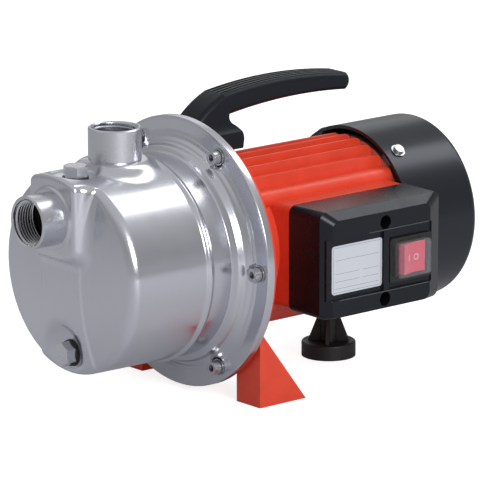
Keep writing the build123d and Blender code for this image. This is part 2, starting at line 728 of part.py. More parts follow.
def shaft():
    """The stepped pump and motor shaft."""
    impeller_front = IMPELLER_REAR_X - IMPELLER_HUB
    front_seat = FRONT_BEARING_X
    front_shoulder = FRONT_BEARING_X + BEARING_WIDTH
    fan_step = REAR_BEARING_X + BEARING_WIDTH + SPIGOT
    return turned((impeller_front - NUT_HEIGHT - 2, 0), (impeller_front - NUT_HEIGHT - 2, NUT_THREAD_RADIUS),
                  (impeller_front, NUT_THREAD_RADIUS), (impeller_front, IMPELLER_SEAT_RADIUS),
                  (IMPELLER_REAR_X, IMPELLER_SEAT_RADIUS), (IMPELLER_REAR_X, SEAL_SHAFT_RADIUS),
                  (front_seat, SEAL_SHAFT_RADIUS), (front_seat, BEARING_BORE_RADIUS),
                  (front_shoulder, BEARING_BORE_RADIUS), (front_shoulder, ROTOR_SHAFT_RADIUS),
                  (REAR_BEARING_X, ROTOR_SHAFT_RADIUS), (REAR_BEARING_X, BEARING_BORE_RADIUS),
                  (fan_step, BEARING_BORE_RADIUS), (fan_step, FAN_SHAFT_RADIUS),
                  (SHAFT_REAR_X, FAN_SHAFT_RADIUS), (SHAFT_REAR_X, 0))


def impeller_nut():
    """The hexagon nut that holds the impeller."""
    front = IMPELLER_REAR_X - IMPELLER_HUB - NUT_HEIGHT
    nut = Pos(front, 0, 0) * Rot(0, 90, 0) * hex_bar(NUT_HEIGHT, NUT_HEX)
    return nut - rod_x(front, front + NUT_HEIGHT, NUT_THREAD_RADIUS)


def vane(inner, outer, sweep, thickness):
    """The outline of a curved vane between two radii, swept back by an angle."""
    middle_radius = (inner + outer) / 2
    points = [(radius * cos(radians(turn)), radius * sin(radians(turn)))
              for radius, turn in ((inner, 0), (middle_radius, sweep * 0.62), (outer, sweep))]
    return Plane.YZ * trace(ThreePointArc(*points), thickness)


def impeller():
    """The closed impeller, with its curved vanes between two shrouds."""
    rear = IMPELLER_REAR_X - 1
    back = rear - IMPELLER_SHROUD
    passage = back - IMPELLER_PASSAGE
    front = passage - IMPELLER_SHROUD
    eye_wall = IMPELLER_EYE_RADIUS - 2
    wheel = ring(IMPELLER_REAR_X - IMPELLER_HUB, IMPELLER_REAR_X, IMPELLER_HUB_RADIUS, IMPELLER_SEAT_RADIUS)
    wheel += ring(back, rear, IMPELLER_RADIUS, IMPELLER_SEAT_RADIUS)
    wheel += ring(front, passage, IMPELLER_RADIUS, eye_wall)
    wheel += ring(front - IMPELLER_EYE, passage, IMPELLER_EYE_RADIUS, eye_wall)
    outline = vane(IMPELLER_HUB_RADIUS + 2, IMPELLER_RADIUS - 1.5, IMPELLER_SWEEP, IMPELLER_VANE)
    blade = Pos(passage, 0, 0) * extrude(outline, IMPELLER_PASSAGE)
    return wheel + around(blade, evenly(IMPELLER_VANES))


def diffuser():
    """The fixed diffuser, with guide vanes round the impeller and a neck for the jet tube."""
    plate_x = -FLANGE_LIP + SHEET
    eye_front = IMPELLER_REAR_X - 1 - 2 * IMPELLER_SHROUD - IMPELLER_PASSAGE
    inside = eye_front - TIP_GAP
    wall = inside - DIFFUSER_WALL
    bore = IMPELLER_EYE_RADIUS + EYE_GAP
    neck_end = wall - DIFFUSER_EYE
    body = turned((neck_end, bore), (neck_end, bore + TUBE_WALL), (wall, bore + TUBE_WALL),
                  (wall, DIFFUSER_RADIUS), (inside, DIFFUSER_RADIUS), (inside, bore))
    guide = Pos(inside, 0, 0) * extrude(
        vane(DIFFUSER_VANE_ROOT, DIFFUSER_RADIUS - 1.6, DIFFUSER_SWEEP, DIFFUSER_WALL), plate_x - inside)
    return body + around(guide, evenly(DIFFUSER_VANES))


def jet_neck_x():
    """Where the diffuser's neck ends and the jet tube takes over."""
    eye_front = IMPELLER_REAR_X - 1 - 2 * IMPELLER_SHROUD - IMPELLER_PASSAGE
    return eye_front - TIP_GAP - DIFFUSER_WALL - DIFFUSER_EYE


def jet_tube():
    """The jet tube, from its throat behind the nozzle to the neck of the diffuser."""
    neck_x = jet_neck_x()
    neck = IMPELLER_EYE_RADIUS + EYE_GAP + TUBE_WALL
    front = JET_FRONT_X + CHAMBER_LENGTH
    throat = front + 8
    socket = neck_x + DIFFUSER_EYE - 4
    return turned((front, CONE_RADIUS), (throat, THROAT_RADIUS), (throat + 6, THROAT_RADIUS),
                  (neck_x - 3, CONE_RADIUS), (neck_x, CONE_RADIUS), (neck_x, neck), (socket, neck),
                  (socket, neck + TUBE_WALL), (neck_x - 3, neck + TUBE_WALL),
                  (throat + 6, THROAT_RADIUS + TUBE_WALL), (front, CONE_RADIUS + TUBE_WALL))


def jet_chamber():
    """The chamber that leads water from the suction socket down to the jet tube."""
    rear = JET_FRONT_X + CHAMBER_LENGTH
    wall = CHAMBER_WALL
    half = CHAMBER_HALF_WIDTH
    shell = block((JET_FRONT_X, rear), (-half, half), (CHAMBER_BOTTOM, CHAMBER_TOP))
    shell = fillet(shell.edges().filter_by(Axis.X), SUCTION_BOSS_CORNER)
    hollow = block((JET_FRONT_X + wall, rear - wall), (wall - half, half - wall),
                   (CHAMBER_BOTTOM + wall, CHAMBER_TOP - wall))
    shell -= fillet(hollow.edges().filter_by(Axis.X), SUCTION_BOSS_CORNER - wall)
    inlet_x = SUCTION_BOSS_X + SHEET + SEAT_GAP
    shell += rod_x(inlet_x, JET_FRONT_X, INLET_RADIUS + wall, 0, SUCTION_HEIGHT)
    shell -= rod_x(inlet_x, JET_FRONT_X + wall, INLET_RADIUS, 0, SUCTION_HEIGHT)
    shell -= rod_x(JET_FRONT_X, JET_FRONT_X + wall, NOZZLE_RADIUS)
    return shell - rod_x(rear - wall, rear, CONE_RADIUS)


def jet_nozzle():
    """The nozzle that drives the jet into the throat."""
    tip = JET_FRONT_X + NOZZLE_LENGTH
    return turned((JET_FRONT_X - 2, NOZZLE_RADIUS - 2), (JET_FRONT_X - 2, NOZZLE_RADIUS + 2),
                  (JET_FRONT_X, NOZZLE_RADIUS + 2), (JET_FRONT_X, NOZZLE_RADIUS),
                  (JET_FRONT_X + CHAMBER_WALL, NOZZLE_RADIUS), (tip, NOZZLE_TIP_RADIUS + 1.5),
                  (tip, NOZZLE_TIP_RADIUS))


def bearing_outer(front):
    """The outer race of a ball bearing."""
    rear = front + BEARING_WIDTH
    race = ring(front, rear, BEARING_OUTER_RADIUS, BEARING_OUTER_RADIUS - RACE_WALL)
    return race - ball_track(front)


def bearing_inner(front):
    """The inner race of a ball bearing."""
    rear = front + BEARING_WIDTH
    race = ring(front, rear, BEARING_BORE_RADIUS + RACE_WALL, BEARING_BORE_RADIUS)
    return race - ball_track(front)


def ball_track(front):
    """The groove that the balls run in."""
    middle = front + BEARING_WIDTH / 2
    return Pos(middle, 0, 0) * Rot(0, 90, 0) * Torus(BEARING_PITCH_RADIUS, BALL_RADIUS + RUNNING_GAP)


def ball_cage(front):
    """The balls of a bearing and the cage that spaces them."""
    middle = front + BEARING_WIDTH / 2
    balls = around(Pos(middle, BEARING_PITCH_RADIUS, 0) * Sphere(BALL_RADIUS), evenly(BALLS))
    cage = ring(middle - CAGE_WIDTH / 2, middle + CAGE_WIDTH / 2, BEARING_PITCH_RADIUS + CAGE_WALL / 2,
                BEARING_PITCH_RADIUS - CAGE_WALL / 2)
    return cage + balls


def bracket_leg():
    """The left leg: a wedge with a front wall, an outer wall, a sloping back wall and a sole."""
    floor = -AXIS_HEIGHT
    outer = LEG_OUTER - LEG_WALL
    inner = LEG_OUTER - LEG_WIDTH
    slope_top = LEG_TOP + LEG_WALL
    wedge = Polygon((LEG_FRONT, floor), (LEG_REAR, floor), (LEG_FRONT, LEG_TOP), align=None)
    leg = profile_y(wedge, -LEG_OUTER, -inner)
    reach = LEG_REAR - LEG_FRONT - 2.6 * LEG_WALL
    fall = (LEG_TOP - floor) * reach / (LEG_REAR - LEG_FRONT)
    hollow = Polygon((LEG_FRONT + LEG_WALL, floor + LEG_WALL),
                     (LEG_FRONT + LEG_WALL + reach - 2 * LEG_WALL, floor + LEG_WALL),
                     (LEG_FRONT + LEG_WALL, floor + fall - LEG_WALL), align=None)
    leg -= profile_y(hollow, -outer, -inner)
    return leg - rod_z(floor, floor + LEG_WALL, FOOT_HOLE_RADIUS, FOOT_HOLE_BACK, -FOOT_HOLE_SPACING / 2)


def tie_points():
    """Where the four tie bolts run, as (y, z)."""
    side = TIE_RING * cos(radians(TIE_ANGLE))
    height = TIE_RING * sin(radians(TIE_ANGLE))
    return [(y, z) for y in (-side, side) for z in (-height, height)]


def motor_bracket():
    """The cast bracket: a disc behind the casing flange, a bearing hub and two legs."""
    joint = -FLANGE_LIP + SHEET + BACK_PLATE
    rim = FLANGE_RADIUS - SHEET - BACK_PLATE_CLEARANCE
    bearing_end = FRONT_BEARING_X + BEARING_WIDTH
    bearing_stop = BEARING_OUTER_RADIUS - RACE_WALL
    relief = SEAL_SEAT_RADIUS + SEAL_HUB_WALL + SEAT_GAP
    disc = turned((joint, BRACKET_RELIEF_RADIUS), (joint, rim), (0, rim), (0, BRACKET_RADIUS),
                  (BRACKET_WEB, BRACKET_RADIUS), (BRACKET_WEB, STATOR_RADIUS),
                  (BRACKET_WEB + SPIGOT, STATOR_RADIUS), (BRACKET_WEB + SPIGOT, STATOR_RADIUS - LEG_WALL),
                  (BRACKET_WEB, STATOR_RADIUS - LEG_WALL), (BRACKET_WEB, HUB_RADIUS),
                  (bearing_end, HUB_RADIUS), (bearing_end, BEARING_OUTER_RADIUS),
                  (FRONT_BEARING_X, BEARING_OUTER_RADIUS), (FRONT_BEARING_X, bearing_stop),
                  (BRACKET_WEB, bearing_stop), (BRACKET_WEB, relief), (1, relief),
                  (1, BRACKET_RELIEF_RADIUS))
    leg = bracket_leg()
    bracket = disc + leg + mirror(leg, Plane.XZ)
    for hole in screw_ring(rod_x(joint, FLANGE_LIP + BRACKET_WEB, SCREW_RADIUS)):
        bracket -= hole
    for y, z in tie_points():
        bracket -= rod_x(joint, BRACKET_WEB, TIE_BOLT_RADIUS, y, z)
    for y in (-HANDLE_SCREW_SPREAD, HANDLE_SCREW_SPREAD):
        bracket -= rod_x(joint, BRACKET_WEB, HANDLE_SCREW_RADIUS, y, HANDLE_SCREW_HEIGHT)
    return bracket


def fin_outline(offset):
    """One upright fin, tapered from its root to its tip, seen along the shaft."""
    tip = sqrt(FIN_TIP_RADIUS**2 - offset**2)
    root = sqrt(HOUSING_RADIUS**2 - offset**2) - FIN
    return Polygon((offset - FIN / 2, root), (offset + FIN / 2, root), (offset + FIN_TIP / 2, tip),
                   (offset - FIN_TIP / 2, tip), align=None)


def housing_fin(offset):
    """An upright fin along the housing, with rounded rear end."""
    fin = extrude(Plane.YZ.offset(HOUSING_FRONT) * fin_outline(offset), HOUSING_REAR - HOUSING_FRONT)
    end = fin.edges().filter_by(Axis.Y).group_by(Axis.X)[-1].sort_by(Axis.Z)[-1]
    return fillet(end, FIN_END_ROUND)


def box_pad():
    """The flat pad on the housing that the terminal box closes against."""
    middle = Pos((BOX_FRONT + BOX_REAR) / 2, (BOX_TOP + BOX_BOTTOM) / 2)
    length = BOX_REAR - BOX_FRONT - 2 * SEAT_GAP
    height = BOX_TOP - BOX_BOTTOM - 2
    pad = profile_y(middle * RectangleRounded(length, height, BOX_CORNER - 1), BOX_BACK, PAD_INNER)
    pocket = middle * RectangleRounded(length - 2 * PAD_RIM, height - 4 * PAD_RIM, BOX_CORNER - 2)
    return pad, profile_y(pocket, BOX_BACK, BOX_BACK + PAD_POCKET)


def motor_housing():
    """The finned motor housing with its tie-bolt bosses, box pad and rear foot boss."""
    barrel = rod_x(HOUSING_FRONT, HOUSING_REAR, HOUSING_RADIUS)
    offsets = [FIN_PITCH * number for number in range(-FINS_EACH_SIDE, FINS_EACH_SIDE + 1)]
    fins = [housing_fin(offset) for offset in offsets]
    pad, pocket = box_pad()
    barrel += fins + around_all(fins, (180, 270)) + [pad]
    for y, z in tie_points():
        barrel += rod_x(HOUSING_FRONT, HOUSING_REAR, TIE_BOSS_RADIUS, y, z)
    barrel += rod_z(-REAR_FOOT_BOSS_DROP, -HOUSING_RADIUS + FIN, REAR_FOOT_BOSS_RADIUS, REAR_FOOT_X)
    barrel -= pocket
    barrel -= rod_x(HOUSING_FRONT, HOUSING_REAR, STATOR_RADIUS)
    for y, z in tie_points():
        barrel -= rod_x(HOUSING_FRONT, HOUSING_REAR, TIE_BOLT_RADIUS, y, z)
    for z in BOX_SCREW_HEIGHTS:
        barrel -= rod_y(BOX_BACK, BOX_BACK + PAD_RIM, BOX_SCREW_RADIUS, BOX_SCREW_X, z)
    return barrel - rod_z(-REAR_FOOT_BOSS_DROP, STUD_GRIP - REAR_FOOT_BOSS_DROP, STUD_RADIUS, REAR_FOOT_X)


def around_all(shapes, angles):
    """Copies of several shapes, turned about the shaft axis."""
    return [turned_copy for shape in shapes for turned_copy in around(shape, angles)]


def stator_core():
    """The laminated stator."""
    return ring(CORE_FRONT, CORE_FRONT + CORE_LENGTH, STATOR_RADIUS, ROTOR_RADIUS + AIR_GAP)


def stator_windings():
    """The end turns of the winding, one bundle at each end of the core."""
    inner = ROTOR_RADIUS + 4
    outer = STATOR_RADIUS - 3
    turns = ring(CORE_FRONT - WINDING_REACH, CORE_FRONT, outer, inner)
    turns = fillet(turns.faces().sort_by(Axis.X)[0].edges(), WINDING_ROUND)
    middle = Plane.YZ.offset(CORE_FRONT + CORE_LENGTH / 2)
    return [turns, mirror(turns, middle)]


def rotor_core():
    """The laminated rotor."""
    return ring(CORE_FRONT, CORE_FRONT + CORE_LENGTH, ROTOR_RADIUS, ROTOR_SHAFT_RADIUS)


def rotor_end_rings():
    """The cast rings that short the rotor bars, one at each end."""
    outer = ROTOR_RADIUS - 1
    front = ring(CORE_FRONT - CAGE_RING, CORE_FRONT, outer, outer - CAGE_RING_DEPTH)
    rear_x = CORE_FRONT + CORE_LENGTH
    return [front, ring(rear_x, rear_x + CAGE_RING, outer, outer - CAGE_RING_DEPTH)]


def cover_screw_angles():
    """The four places of the fan cover's screws round the shaft."""
    return [-COVER_SCREW_ANGLE, COVER_SCREW_ANGLE, 180 - COVER_SCREW_ANGLE, 180 + COVER_SCREW_ANGLE]


def rear_shield():
    """The rear end shield, with the rear bearing seat and lugs for the fan cover."""
    front = HOUSING_REAR - SHIELD_SPIGOT
    rear = HOUSING_REAR + SHIELD
    seat_end = REAR_BEARING_X + BEARING_WIDTH + WAVE_WASHER
    lug_reach = COVER_RADIUS - COVER_WALL
    spigot = STATOR_RADIUS - LEG_WALL
    shield = turned((front, STATOR_RADIUS), (HOUSING_REAR, STATOR_RADIUS), (HOUSING_REAR, SHIELD_RADIUS),
                    (rear, SHIELD_RADIUS), (rear, BEARING_OUTER_RADIUS - RACE_WALL),
                    (seat_end, BEARING_OUTER_RADIUS - RACE_WALL), (seat_end, BEARING_OUTER_RADIUS),
                    (REAR_BEARING_X, BEARING_OUTER_RADIUS), (REAR_BEARING_X, HUB_RADIUS),
                    (HOUSING_REAR, HUB_RADIUS), (HOUSING_REAR, spigot), (front, spigot))
    lug = block((rear - SHEET, COVER_SCREW_X + LUG_LENGTH / 2), (SHIELD_RADIUS - LUG_LENGTH, COVER_RADIUS),
                (-LUG_WIDTH / 2, LUG_WIDTH / 2))
    lug -= rod_y(SHIELD_RADIUS - LUG_LENGTH, COVER_RADIUS, COVER_SCREW_RADIUS, COVER_SCREW_X, 0)
    reach = rod_x(rear - SHEET, COVER_REAR, lug_reach)
    shield += [copy & reach for copy in around(lug, cover_screw_angles())]
    for y, z in tie_points():
        shield -= rod_x(HOUSING_REAR, rear, TIE_BOLT_RADIUS, y, z)
    return shield


def wave_washer():
    """The spring washer that loads the rear bearing."""
    front = REAR_BEARING_X + BEARING_WIDTH
    return ring(front, front + WAVE_WASHER, BEARING_OUTER_RADIUS - 0.3, BEARING_OUTER_RADIUS - RACE_WALL)


def tie_bolts():
    """The long bolts that clamp shield, housing and bracket together."""
    head = HOUSING_REAR + SHIELD
    bolts = []
    for y, z in tie_points():
        bolt = rod_x(1, head, TIE_BOLT_RADIUS, y, z)
        bolts.append(bolt + Pos(head, y, z) * Rot(0, 90, 0) * hex_bar(TIE_HEAD, 2 * TIE_HEAD_RADIUS - 1))
    return bolts


def fan():
    """The cooling fan: a hub and disc with radial blades on the intake side."""
    plate = FAN_X + FAN_PLATE
    rear = FAN_X + FAN_DEPTH
    wheel = turned((FAN_X, FAN_SHAFT_RADIUS), (rear, FAN_SHAFT_RADIUS), (rear, FAN_HUB_RADIUS - 1),
                   (plate, FAN_HUB_RADIUS), (plate, FAN_RADIUS), (FAN_X, FAN_RADIUS))
    outline = Polygon((plate, FAN_HUB_RADIUS - 2), (plate, FAN_RADIUS), (FAN_X + FAN_DEPTH / 2, FAN_RADIUS),
                      (rear, FAN_RADIUS * 0.72), (rear, FAN_RADIUS * 0.4), (plate + 3, FAN_HUB_RADIUS - 2),
                      align=None)
    blade = profile_y(outline, -FAN_BLADE / 2, FAN_BLADE / 2)
    return wheel + around(blade, evenly(FAN_BLADES))


def fan_clip():
    """The clip that holds the fan on the shaft."""
    front = FAN_X + FAN_DEPTH
    clip = ring(front, front + CLIP, CLIP_RADIUS, FAN_SHAFT_RADIUS)
    return clip - block((front, front + CLIP), (-2.5, 2.5), (0, CLIP_RADIUS))


def rear_rounded(drum, radius):
    """A drum with its rear edge rounded."""
    circles = drum.edges().filter_by(GeomType.CIRCLE)
    return fillet(circles.sort_by(lambda edge: edge.center().X)[-1], radius)


def fan_cover():
    """The fan cover: a drum with a slotted intake in its rear wall."""
    cover = rear_rounded(rod_x(COVER_FRONT, COVER_REAR, COVER_RADIUS), COVER_EDGE)
    cover -= rear_rounded(rod_x(COVER_FRONT, COVER_REAR - COVER_WALL, COVER_RADIUS - COVER_WALL),
                          COVER_EDGE - COVER_WALL)
    slot = block((COVER_REAR - 2 * COVER_WALL, COVER_REAR + COVER_WALL), (-GRILLE_SLOT / 2, GRILLE_SLOT / 2),
                 (GRILLE_INNER, GRILLE_OUTER))
    for opening in around(slot, evenly(GRILLE_SLOTS)):
        cover -= opening
    hole = rod_y(COVER_RADIUS - 2 * COVER_WALL, COVER_RADIUS + COVER_WALL, COVER_SCREW_RADIUS,
                 COVER_SCREW_X, 0)
    for opening in around(hole, cover_screw_angles()):
        cover -= opening
    return cover


def fan_cover_screws():
    """The screws through the fan cover's wall into the lugs."""
    seat = COVER_RADIUS + COVER_WASHER
    screw = rod_y(seat, seat + COVER_SCREW_HEAD, COVER_SCREW_HEAD_RADIUS, COVER_SCREW_X, 0)
    screw += rod_y(SHIELD_RADIUS - LUG_LENGTH / 2, seat, COVER_SCREW_RADIUS, COVER_SCREW_X, 0)
    return around(screw, cover_screw_angles())


def fan_cover_washers():
    """The washers under the fan cover's screws, curved to the drum."""
    washer = rod_y(COVER_RADIUS - 1, COVER_RADIUS + COVER_WASHER, COVER_WASHER_RADIUS, COVER_SCREW_X, 0)
    washer -= rod_y(COVER_RADIUS - 1, COVER_RADIUS + COVER_WASHER, COVER_SCREW_RADIUS, COVER_SCREW_X, 0)
    washer -= rod_x(COVER_FRONT, COVER_REAR, COVER_RADIUS)
    return around(washer, cover_screw_angles())


def rear_foot():
    """The rear foot: a disc, a column and four ribs."""
    floor = -AXIS_HEIGHT
    disc = rod_z(floor, floor + REAR_FOOT_DISC, REAR_FOOT_RADIUS, REAR_FOOT_X)
    disc = fillet(disc.edges().sort_by(Axis.Z)[-1], REAR_FOOT_EDGE)
    top = -REAR_FOOT_BOSS_DROP
    column = rod_z(floor, top, REAR_FOOT_COLUMN_RADIUS, REAR_FOOT_X)
    shoulder = floor + REAR_FOOT_DISC
    outline = Polygon((0, shoulder), (REAR_FOOT_RIB_REACH, shoulder),
                      (REAR_FOOT_COLUMN_RADIUS + 0.5, top - 3), (0, top - 3), align=None)
    rib = profile_y(outline, -REAR_FOOT_RIB / 2, REAR_FOOT_RIB / 2)
    ribs = [Pos(REAR_FOOT_X, 0, 0) * Rot(0, 0, 45 + 90 * number) * rib for number in range(4)]
    stud_hole = rod_z(shoulder, top, STUD_RADIUS, REAR_FOOT_X)
    return disc + [column, *ribs] - stud_hole


def rear_foot_stud():
    """The stud that holds the rear foot to the housing."""
    return rod_z(REAR_FOOT_DISC - AXIS_HEIGHT, STUD_GRIP - REAR_FOOT_BOSS_DROP, STUD_RADIUS, REAR_FOOT_X)


def handle_crown_x():
    """Where the handle's arch is highest."""
    return HANDLE_FRONT + HANDLE_CROWN


def handle_top():
    """The long arch of the handle's upper side."""
    front = (HANDLE_FRONT + HANDLE_NOSE, HANDLE_TOP - HANDLE_FRONT_FALL)
    rear = (HANDLE_REAR - HANDLE_TAIL, HANDLE_TOP - HANDLE_REAR_FALL)
    return ThreePointArc(front, (handle_crown_x(), HANDLE_TOP), rear)


def handle_outline():
    """The handle seen from the side: base behind the flange, arched grip, free rear end."""
    over_disc = BRACKET_RADIUS + HANDLE_RIM_GAP
    under = HANDLE_TOP - HANDLE_GRIP_DEPTH
    lip = (HANDLE_FRONT, over_disc + HANDLE_LIP)
    tail_end = (HANDLE_REAR - HANDLE_TAIL_UNDERCUT, under - HANDLE_TAIL_FALL)
    throat_x = HANDLE_FRONT + HANDLE_THROAT
    throat_top = (throat_x, under - HANDLE_THROAT_TOP)
    throat_bottom = (throat_x + HANDLE_THROAT_RUN, under - HANDLE_THROAT_BOTTOM)
    heel_end = (HANDLE_BASE_REAR, HANDLE_BASE_TOP - HANDLE_HEEL_DROP)
    top = handle_top()
    nose = ThreePointArc(lip, (HANDLE_FRONT + HANDLE_NOSE_BOW, HANDLE_TOP - HANDLE_NOSE_DROP), top @ 0)
    tail = ThreePointArc(top @ 1, (HANDLE_REAR, HANDLE_TOP - HANDLE_TAIL_DROP), tail_end)
    belly = ThreePointArc(tail_end, (handle_crown_x(), under + HANDLE_BELLY_RISE), throat_top)
    throat = ThreePointArc(
        throat_top, (throat_x + HANDLE_THROAT_BOW, under - HANDLE_THROAT_MIDDLE), throat_bottom)
    heel = ThreePointArc(throat_bottom, (HANDLE_BASE_REAR - HANDLE_HEEL_BOW, HANDLE_BASE_TOP), heel_end)
    base = Polyline(heel_end, (HANDLE_BASE_REAR - HANDLE_HEEL_SLOPE, HANDLE_BASE_BOTTOM),
                    (BRACKET_WEB, HANDLE_BASE_BOTTOM), (BRACKET_WEB, over_disc), (HANDLE_FRONT, over_disc),
                    lip)
    return make_face([nose, top, tail, belly, throat, heel, base])


def handle_base():
    """The wider base of the handle, flaring out from the grip's width, cut to the side outline."""
    neck = HANDLE_TOP - HANDLE_GRIP_DEPTH - HANDLE_NECK_DROP
    half = HANDLE_HALF_WIDTH
    wide = HANDLE_BASE_HALF_WIDTH
    middle = (half * 2 + wide) / 3
    middle_z = (neck + HANDLE_BASE_TOP) / 2 - 1
    flares = [ThreePointArc((side * half, neck), (side * middle, middle_z), (side * wide, HANDLE_BASE_TOP))
              for side in (-1, 1)]
    neck_line = Line((-half, neck), (half, neck))
    under = Polyline((-wide, HANDLE_BASE_TOP), (-wide, HANDLE_BASE_BOTTOM), (wide, HANDLE_BASE_BOTTOM),
                     (wide, HANDLE_BASE_TOP))
    return extrude(Plane.YZ * make_face([*flares, neck_line, under]), HANDLE_BASE_REAR) & profile_y(
        handle_outline(), -wide, wide)


def handle():
    """The carrying handle with its grooved top."""
    grip = profile_y(handle_outline(), -HANDLE_HALF_WIDTH, HANDLE_HALF_WIDTH)
    sides = grip.faces().sort_by(Axis.Y)[0].edges() + grip.faces().sort_by(Axis.Y)[-1].edges()
    throat_top = HANDLE_TOP - HANDLE_GRIP_DEPTH - HANDLE_THROAT_TOP
    grip = fillet([edge for edge in sides if edge.center().Z > throat_top], HANDLE_ROUND)
    grip += handle_base()
    arch = trace(handle_top(), 2 * HANDLE_GROOVE)
    first = -HANDLE_GROOVE_PITCH * (HANDLE_GROOVES - 1) / 2
    for number in range(HANDLE_GROOVES):
        middle = first + HANDLE_GROOVE_PITCH * number
        grip -= profile_y(arch, middle - HANDLE_GROOVE / 2, middle + HANDLE_GROOVE / 2)
    for y in (-HANDLE_SCREW_SPREAD, HANDLE_SCREW_SPREAD):
        grip -= rod_x(BRACKET_WEB, HANDLE_BASE_REAR, HANDLE_SCREW_RADIUS, y, HANDLE_SCREW_HEIGHT)
        grip -= rod_x(HANDLE_SCREW_SEAT, HANDLE_BASE_REAR, HANDLE_SCREW_HEAD_RADIUS + SEAT_GAP, y,
                      HANDLE_SCREW_HEIGHT)
    return grip


def handle_screws():
    """The two screws that hold the handle to the bracket, deep in the handle's base."""
    seat = HANDLE_SCREW_SEAT
    screws = []
    for y in (-HANDLE_SCREW_SPREAD, HANDLE_SCREW_SPREAD):
        screw = rod_x(1, seat, HANDLE_SCREW_RADIUS, y, HANDLE_SCREW_HEIGHT)
        head = rod_x(seat, seat + HANDLE_SCREW_HEAD, HANDLE_SCREW_HEAD_RADIUS, y, HANDLE_SCREW_HEIGHT)
        socket = Pos(seat + HANDLE_SCREW_HEAD / 2, y, HANDLE_SCREW_HEIGHT) * Rot(0, 90, 0) * hex_bar(
            HANDLE_SCREW_HEAD / 2, HANDLE_SCREW_HEAD_RADIUS)
        screws.append(screw + head - socket)
    return screws


def box_frame(y, inset, corner):
    """The rounded outline of the terminal box's side walls, on the plane at y."""
    middle = Pos((BOX_FRONT + BOX_REAR) / 2, (BOX_TOP + BOX_BOTTOM) / 2)
    outline = RectangleRounded(BOX_REAR - BOX_FRONT - 2 * inset, BOX_TOP - BOX_BOTTOM - 2 * inset, corner)
    return Plane.XZ.offset(-y) * middle * outline


def box_face(y, inset, corner):
    """The rounded outline of the terminal box's face, on the plane at y."""
    middle = Pos((FACE_FRONT + FACE_REAR) / 2, (FACE_TOP + FACE_BOTTOM) / 2)
    length = FACE_REAR - FACE_FRONT - 2 * inset
    outline = RectangleRounded(length, FACE_TOP - FACE_BOTTOM - 2 * inset, corner)
    return Plane.XZ.offset(-y) * middle * outline


def box_form(inset):
    """The terminal box as a solid: straight sides, then slopes up to the face."""
    shoulder = BOX_SHOULDER + inset
    corner = BOX_CORNER - inset
    sides = extrude(box_frame(BOX_BACK, inset, corner), BOX_BACK - shoulder)
    return sides + loft([box_frame(shoulder, inset, corner), box_face(BOX_FACE + inset, inset, corner)])


def terminal_box():
    """The terminal box cover, with its recessed windows, screw wells and cable hole."""
    back = BOX_BACK - GASKET
    cover = box_form(0) - box_form(BOX_WALL)
    cover -= block((BOX_FRONT - 1, BOX_REAR + 1), (back, BOX_BACK + 1), (BOX_BOTTOM - 1, BOX_TOP + 1))
    window = BOX_FACE + WINDOW_DEPTH
    heights = (WINDOW_BOTTOM, WINDOW_TOP)
    cover += block((BOX_FRONT + BOX_WALL, FACE_REAR - 1), (window, window + BOX_WALL), heights)
    cover -= block((BOX_FRONT - 1, DIVIDER_FRONT), (BOX_FACE - 1, window), heights)
    cover -= block((DIVIDER_REAR, FACE_REAR + WINDOW_DEPTH), (BOX_FACE - 1, window), heights)
    for z in BOX_SCREW_HEIGHTS:
        post = rod_y(BOX_FACE + BOX_WALL, back, BOX_SCREW_POST_RADIUS, BOX_SCREW_X, z)
        cover += post & box_form(0)
        cover -= rod_y(BOX_FACE - 1, BOX_SCREW_WELL_FLOOR, BOX_SCREW_WELL_RADIUS, BOX_SCREW_X, z)
        cover -= rod_y(BOX_SCREW_WELL_FLOOR, back, BOX_SCREW_RADIUS, BOX_SCREW_X, z)
    cover -= switch_block(BOX_FACE, BOX_FACE + 2 * BOX_WALL, SWITCH_BODY_LENGTH, SWITCH_BODY_HEIGHT)
    return cover - rod_x(BOX_REAR - 2 * BOX_WALL, BOX_REAR + 1, BUSH_NECK_RADIUS, INLET_Y, INLET_Z)


def box_gasket():
    """The flat seal between the terminal box and its pad."""
    outer = extrude(box_frame(BOX_BACK, 1.0, BOX_CORNER - 1), GASKET)
    return outer - extrude(box_frame(BOX_BACK, 1.0 + GASKET_WIDTH, BOX_CORNER - 1 - GASKET_WIDTH), GASKET)


def box_screws():
    """The two long screws of the terminal box, deep in their wells."""
    floor = BOX_SCREW_WELL_FLOOR
    end = BOX_BACK + PAD_RIM - 1
    return [rod_y(floor - BOX_SCREW_HEAD, floor, BOX_SCREW_HEAD_RADIUS, BOX_SCREW_X, z)
            + rod_y(floor, end, BOX_SCREW_RADIUS, BOX_SCREW_X, z) for z in BOX_SCREW_HEIGHTS]


def label_plate():
    """The bare rating plate in the left window."""
    middle = Pos((LABEL_FRONT + LABEL_REAR) / 2, (LABEL_TOP + LABEL_BOTTOM) / 2)
    plate = middle * RectangleRounded(LABEL_REAR - LABEL_FRONT, LABEL_TOP - LABEL_BOTTOM, LABEL_CORNER)
    window = BOX_FACE + WINDOW_DEPTH
    return profile_y(plate, window - LABEL, window)


def switch_block(front, back, length, height):
    """A block centred on the switch, from its front to its back."""
    return block((SWITCH_X - length / 2, SWITCH_X + length / 2), (front, back),
                 (SWITCH_Z - height / 2, SWITCH_Z + height / 2))


